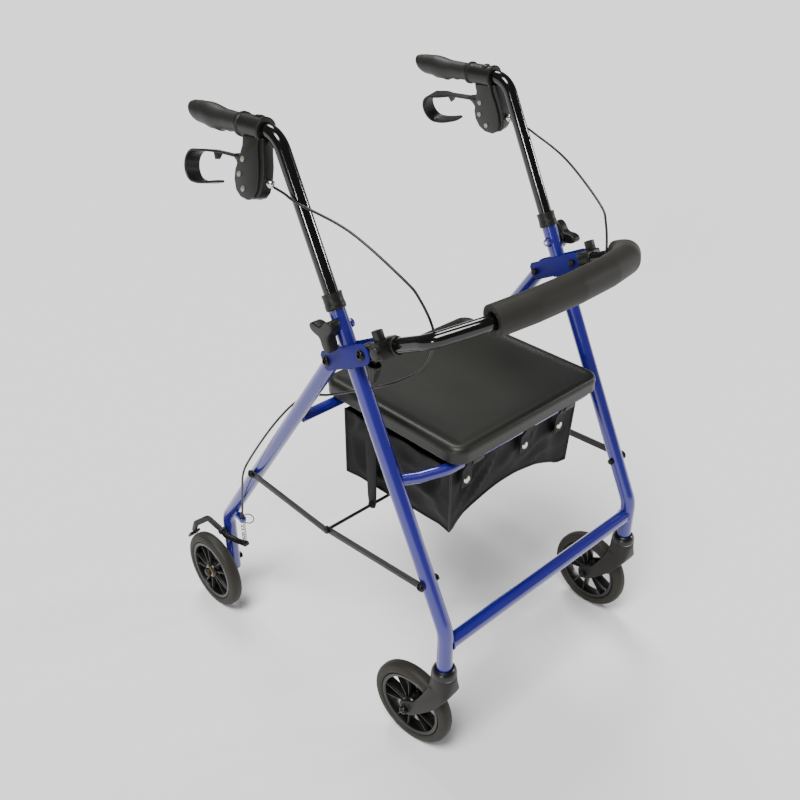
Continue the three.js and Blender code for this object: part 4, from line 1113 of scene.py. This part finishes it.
def bag_tabs():
    """Straps over the front tube that end in a snap on the bag's front wall."""
    tabs = []
    for x in SNAPS:
        y = BAG_Y0 - 6
        line = [(x, FRONT_TUBE_Y + 8, 488), (x, FRONT_TUBE_Y + 9.5, TUBE_Z), (x, FRONT_TUBE_Y, 508),
                (x, FRONT_TUBE_Y - 10.5, TUBE_Z), (x, y - 3.5, 480), (x, y - 2.5, 462), (x, y - 0.5, 446)]
        flat = [(11, -0.8), (11, 0.8), (-11, 0.8), (-11, -0.8)]
        tabs.append(swept(curved(line, 5), flat, across=(1, 0, 0)))
    return tabs


def bag_snaps():
    snaps = []
    for x in SNAPS:
        cap = lathe([(0, -3), (3.4, -2.9), (5.6, -2.1), (6.6, -0.6), (6.6, 0), (0, 0)], "Y", 36)
        snaps.append(moved(cap, shift(x, BAG_Y0 - 8.6, 460)))
    return snaps


def fold_strap():
    """Webbing from the seat's underside to a loop round the cross rod."""
    x = -BAG_X - 8
    y, z = BRACE_MIDDLE
    outline = [(y - 13, 500), (y + 13, 500), (y + 12.5, 420), (y + 10, z + 14), (y + 6.5, z - 5),
               (y, z - 8), (y - 6.5, z - 5), (y - 10, z + 14),
               (y - 12.5, 420)]
    band = prism(outline, x - 1.1, x + 1.1, 0.5)
    hem = moved(rod(6.2, x - 4.5, x + 4.5, edge=1.2), shift(0, y, z))
    strap = piece("strap", WEBBING, "front_frame", "nylon", band, hem, stands_for=["fold_strap"])
    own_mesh(strap)


# ------------------------------------------------------------------ folding braces


def brace_bar(start, end, x0, x1, sign):
    """A pressed flat bar with rounded ends and a shallow channel down its middle."""
    (y0, z0), (y1, z1) = start, end
    length = math.hypot(y1 - y0, z1 - z0)
    outline = arc(0, 0, 6.5, 90, 270, 12) + arc(length, 0, 6.5, -90, 90, 12)
    bar = prism(outline, -1.5, 1.5, 0.7, 2)
    rib = prism(arc(24, 0, 2.4, 90, 270, 8) + arc(length - 24, 0, 2.4, -90, 90, 8), 0.6, 2.0, 0.5)
    skew = Matrix.Identity(4)
    skew[0][1] = (x1 - x0) / length
    turn = Matrix.Rotation(math.atan2(z1 - z0, y1 - y0), 4, "X")
    placed = [moved(s, shift(x0, y0, z0) @ turn @ skew) for s in (bar, rib)]
    return [mirrored(s, sign) for s in placed]


def braces():
    """Front pair joined by a cross rod, and a rear bar on each side."""
    shapes = []
    for _, sign in SIDES:
        shapes += brace_bar(BRACE_FRONT, BRACE_MIDDLE, 250, 255, sign)
    shapes.append(moved(rod(2.75, -256, 256, edge=0.5), shift(0, *BRACE_MIDDLE)))
    piece("brace_front_bars", DARK_METAL, "brace_front", "dark_metal", *shapes, stands_for=["brace_front"])
    for tag, sign in SIDES:
        lap = 255 + 3.3
        bars = brace_bar(BRACE_MIDDLE, BRACE_REAR, lap, 260.2, sign)
        rivet = moved(lathe([(0, lap + 1), (5, lap + 1), (5, lap + 2.4), (3.8, lap + 3.6), (0, lap + 4)]),
                      shift(0, *BRACE_MIDDLE))
        piece(f"brace_rear_{tag}_bar", DARK_METAL, "brace_rear", "dark_metal", *bars, mirrored(rivet, sign),
              stands_for=[f"brace_rear_{tag}"])


# ------------------------------------------------------------------ cables

UPPER_ROUTE = [(250, 32, 879), (250.5, 8, 876), (249, -18, 869), (230, -103, 847), (212, -188, 800),
               (203, -210, 775), (192, -224, 733), (190, -220, 696), (194, -203, 662),
               (201, -159, 628)]
LOWER_ROUTE = [(201, -159, 628), (206, -120, 605), (210, -69, 578), (213, -21, 553), (216, 4, 543),
               (223, 34, 526), (231, 60, 501), (248, 95, 450), (264, 138, 378), (272, 152, 343),
               (268, 167, 297), (259, 186, 248), (254, 197, 226),
               (252, 202, 212)]


def cables():
    """Brake cables, each split where it passes from the handle's side to the rear frame's."""
    for tag, sign in SIDES:
        for part, route, a, b, start, end in (
                ("upper", UPPER_ROUTE, f"handle_{tag}", "front_frame", UPPER_ROUTE[1], UPPER_ROUTE[6]),
                ("lower", LOWER_ROUTE, "front_frame", "rear_frame", LOWER_ROUTE[0], LOWER_ROUTE[8])):
            line = swept(curved([(sign * x, y, z) for x, y, z in route], 8), ring(1.9, 12))
            made = piece(f"cable_{part}_{tag}", CABLE_JACKET, None, "cable_jacket", line,
                         stands_for=[f"brake_cable_{tag}"])
            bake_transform(made)


# ------------------------------------------------------------------ build

cross_tubes()
braces()
backrest()
seat()
basket()
fold_strap()
cables()
for tag, sign in SIDES:
    front_leg(tag, sign)
    rear_leg(tag, sign)
    wheel(tag, sign, "rear", f"rear_wheel_{tag}", shift(sign * REAR_WHEEL_X, REAR_Y, WHEEL_R))
    caster(tag, sign)
    brake_gear(tag, sign)
    handle(tag, sign)
    height_knob(tag, sign)
    thumb_screw(tag, sign)
    socket(tag, sign)

# ------------------------------------------------------------------ camera, floor and light

FLOOR_HALF = 30
WORLD = 0.16
KEY = 3.6
BACK = 1.6
STREAK = 0.7

CAMERA_PLACE = Vector((-1.0076, -1.0210, 1.3126))
CAMERA_AZIMUTH = math.radians(-43.437)
CAMERA_ELEVATION = math.radians(31.144)
CAMERA_LENS = 43.09


def camera():
    """Looks down at the walker from its front right."""
    data = bpy.data.cameras.new("camera")
    data.lens = CAMERA_LENS
    data.sensor_width = 36
    shot = bpy.data.objects.new("camera", data)
    bpy.context.scene.collection.objects.link(shot)
    right = Vector((math.cos(CAMERA_AZIMUTH), math.sin(CAMERA_AZIMUTH), 0))
    ahead = Vector((-math.sin(CAMERA_AZIMUTH) * math.cos(CAMERA_ELEVATION),
                    math.cos(CAMERA_AZIMUTH) * math.cos(CAMERA_ELEVATION), -math.sin(CAMERA_ELEVATION)))
    shot.matrix_world = on_axes(CAMERA_PLACE, right, right.cross(ahead), -ahead)
    bpy.context.scene.camera = shot


def floor():
    """Wide pale ground just below the wheels."""
    mesh = bpy.data.meshes.new("floor")
    half = FLOOR_HALF
    mesh.from_pydata([(-half, -half, 0), (half, -half, 0), (half, half, 0), (-half, half, 0)], [],
                     [(0, 1, 2, 3)])
    mesh.materials.append(surface("floor", (0.92, 0.92, 0.92, 1), 0.9, tone=0.0, grain=200, depth=0.02))
    ground = bpy.data.objects.new("floor", mesh)
    ground.location.z = -0.0005
    bpy.context.scene.collection.objects.link(ground)


def sun(name, towards, strength, angle):
    data = bpy.data.lights.new(name, "SUN")
    data.energy = strength
    data.angle = math.radians(angle)
    lamp = bpy.data.objects.new(name, data)
    lamp.rotation_euler = Vector(towards).to_track_quat("-Z", "Y").to_euler()
    bpy.context.scene.collection.objects.link(lamp)


def light():
    """Broad key and back light, two narrow streaks for the gloss, and a dim even surround."""
    world = bpy.data.worlds.new("studio")
    world.use_nodes = True
    world.node_tree.nodes["Background"].inputs["Color"].default_value = (1, 1, 1, 1)
    world.node_tree.nodes["Background"].inputs["Strength"].default_value = WORLD
    bpy.context.scene.world = world
    sun("key", (0.45, 0.15, -1), KEY, 25)
    sun("back", (-0.3, -0.6, -1), BACK, 20)
    sun("streak_left", (0.9, 0.35, -0.21), STREAK, 5)
    sun("streak_right", (-0.85, 0.45, -0.26), STREAK, 5)


camera()
floor()
light()
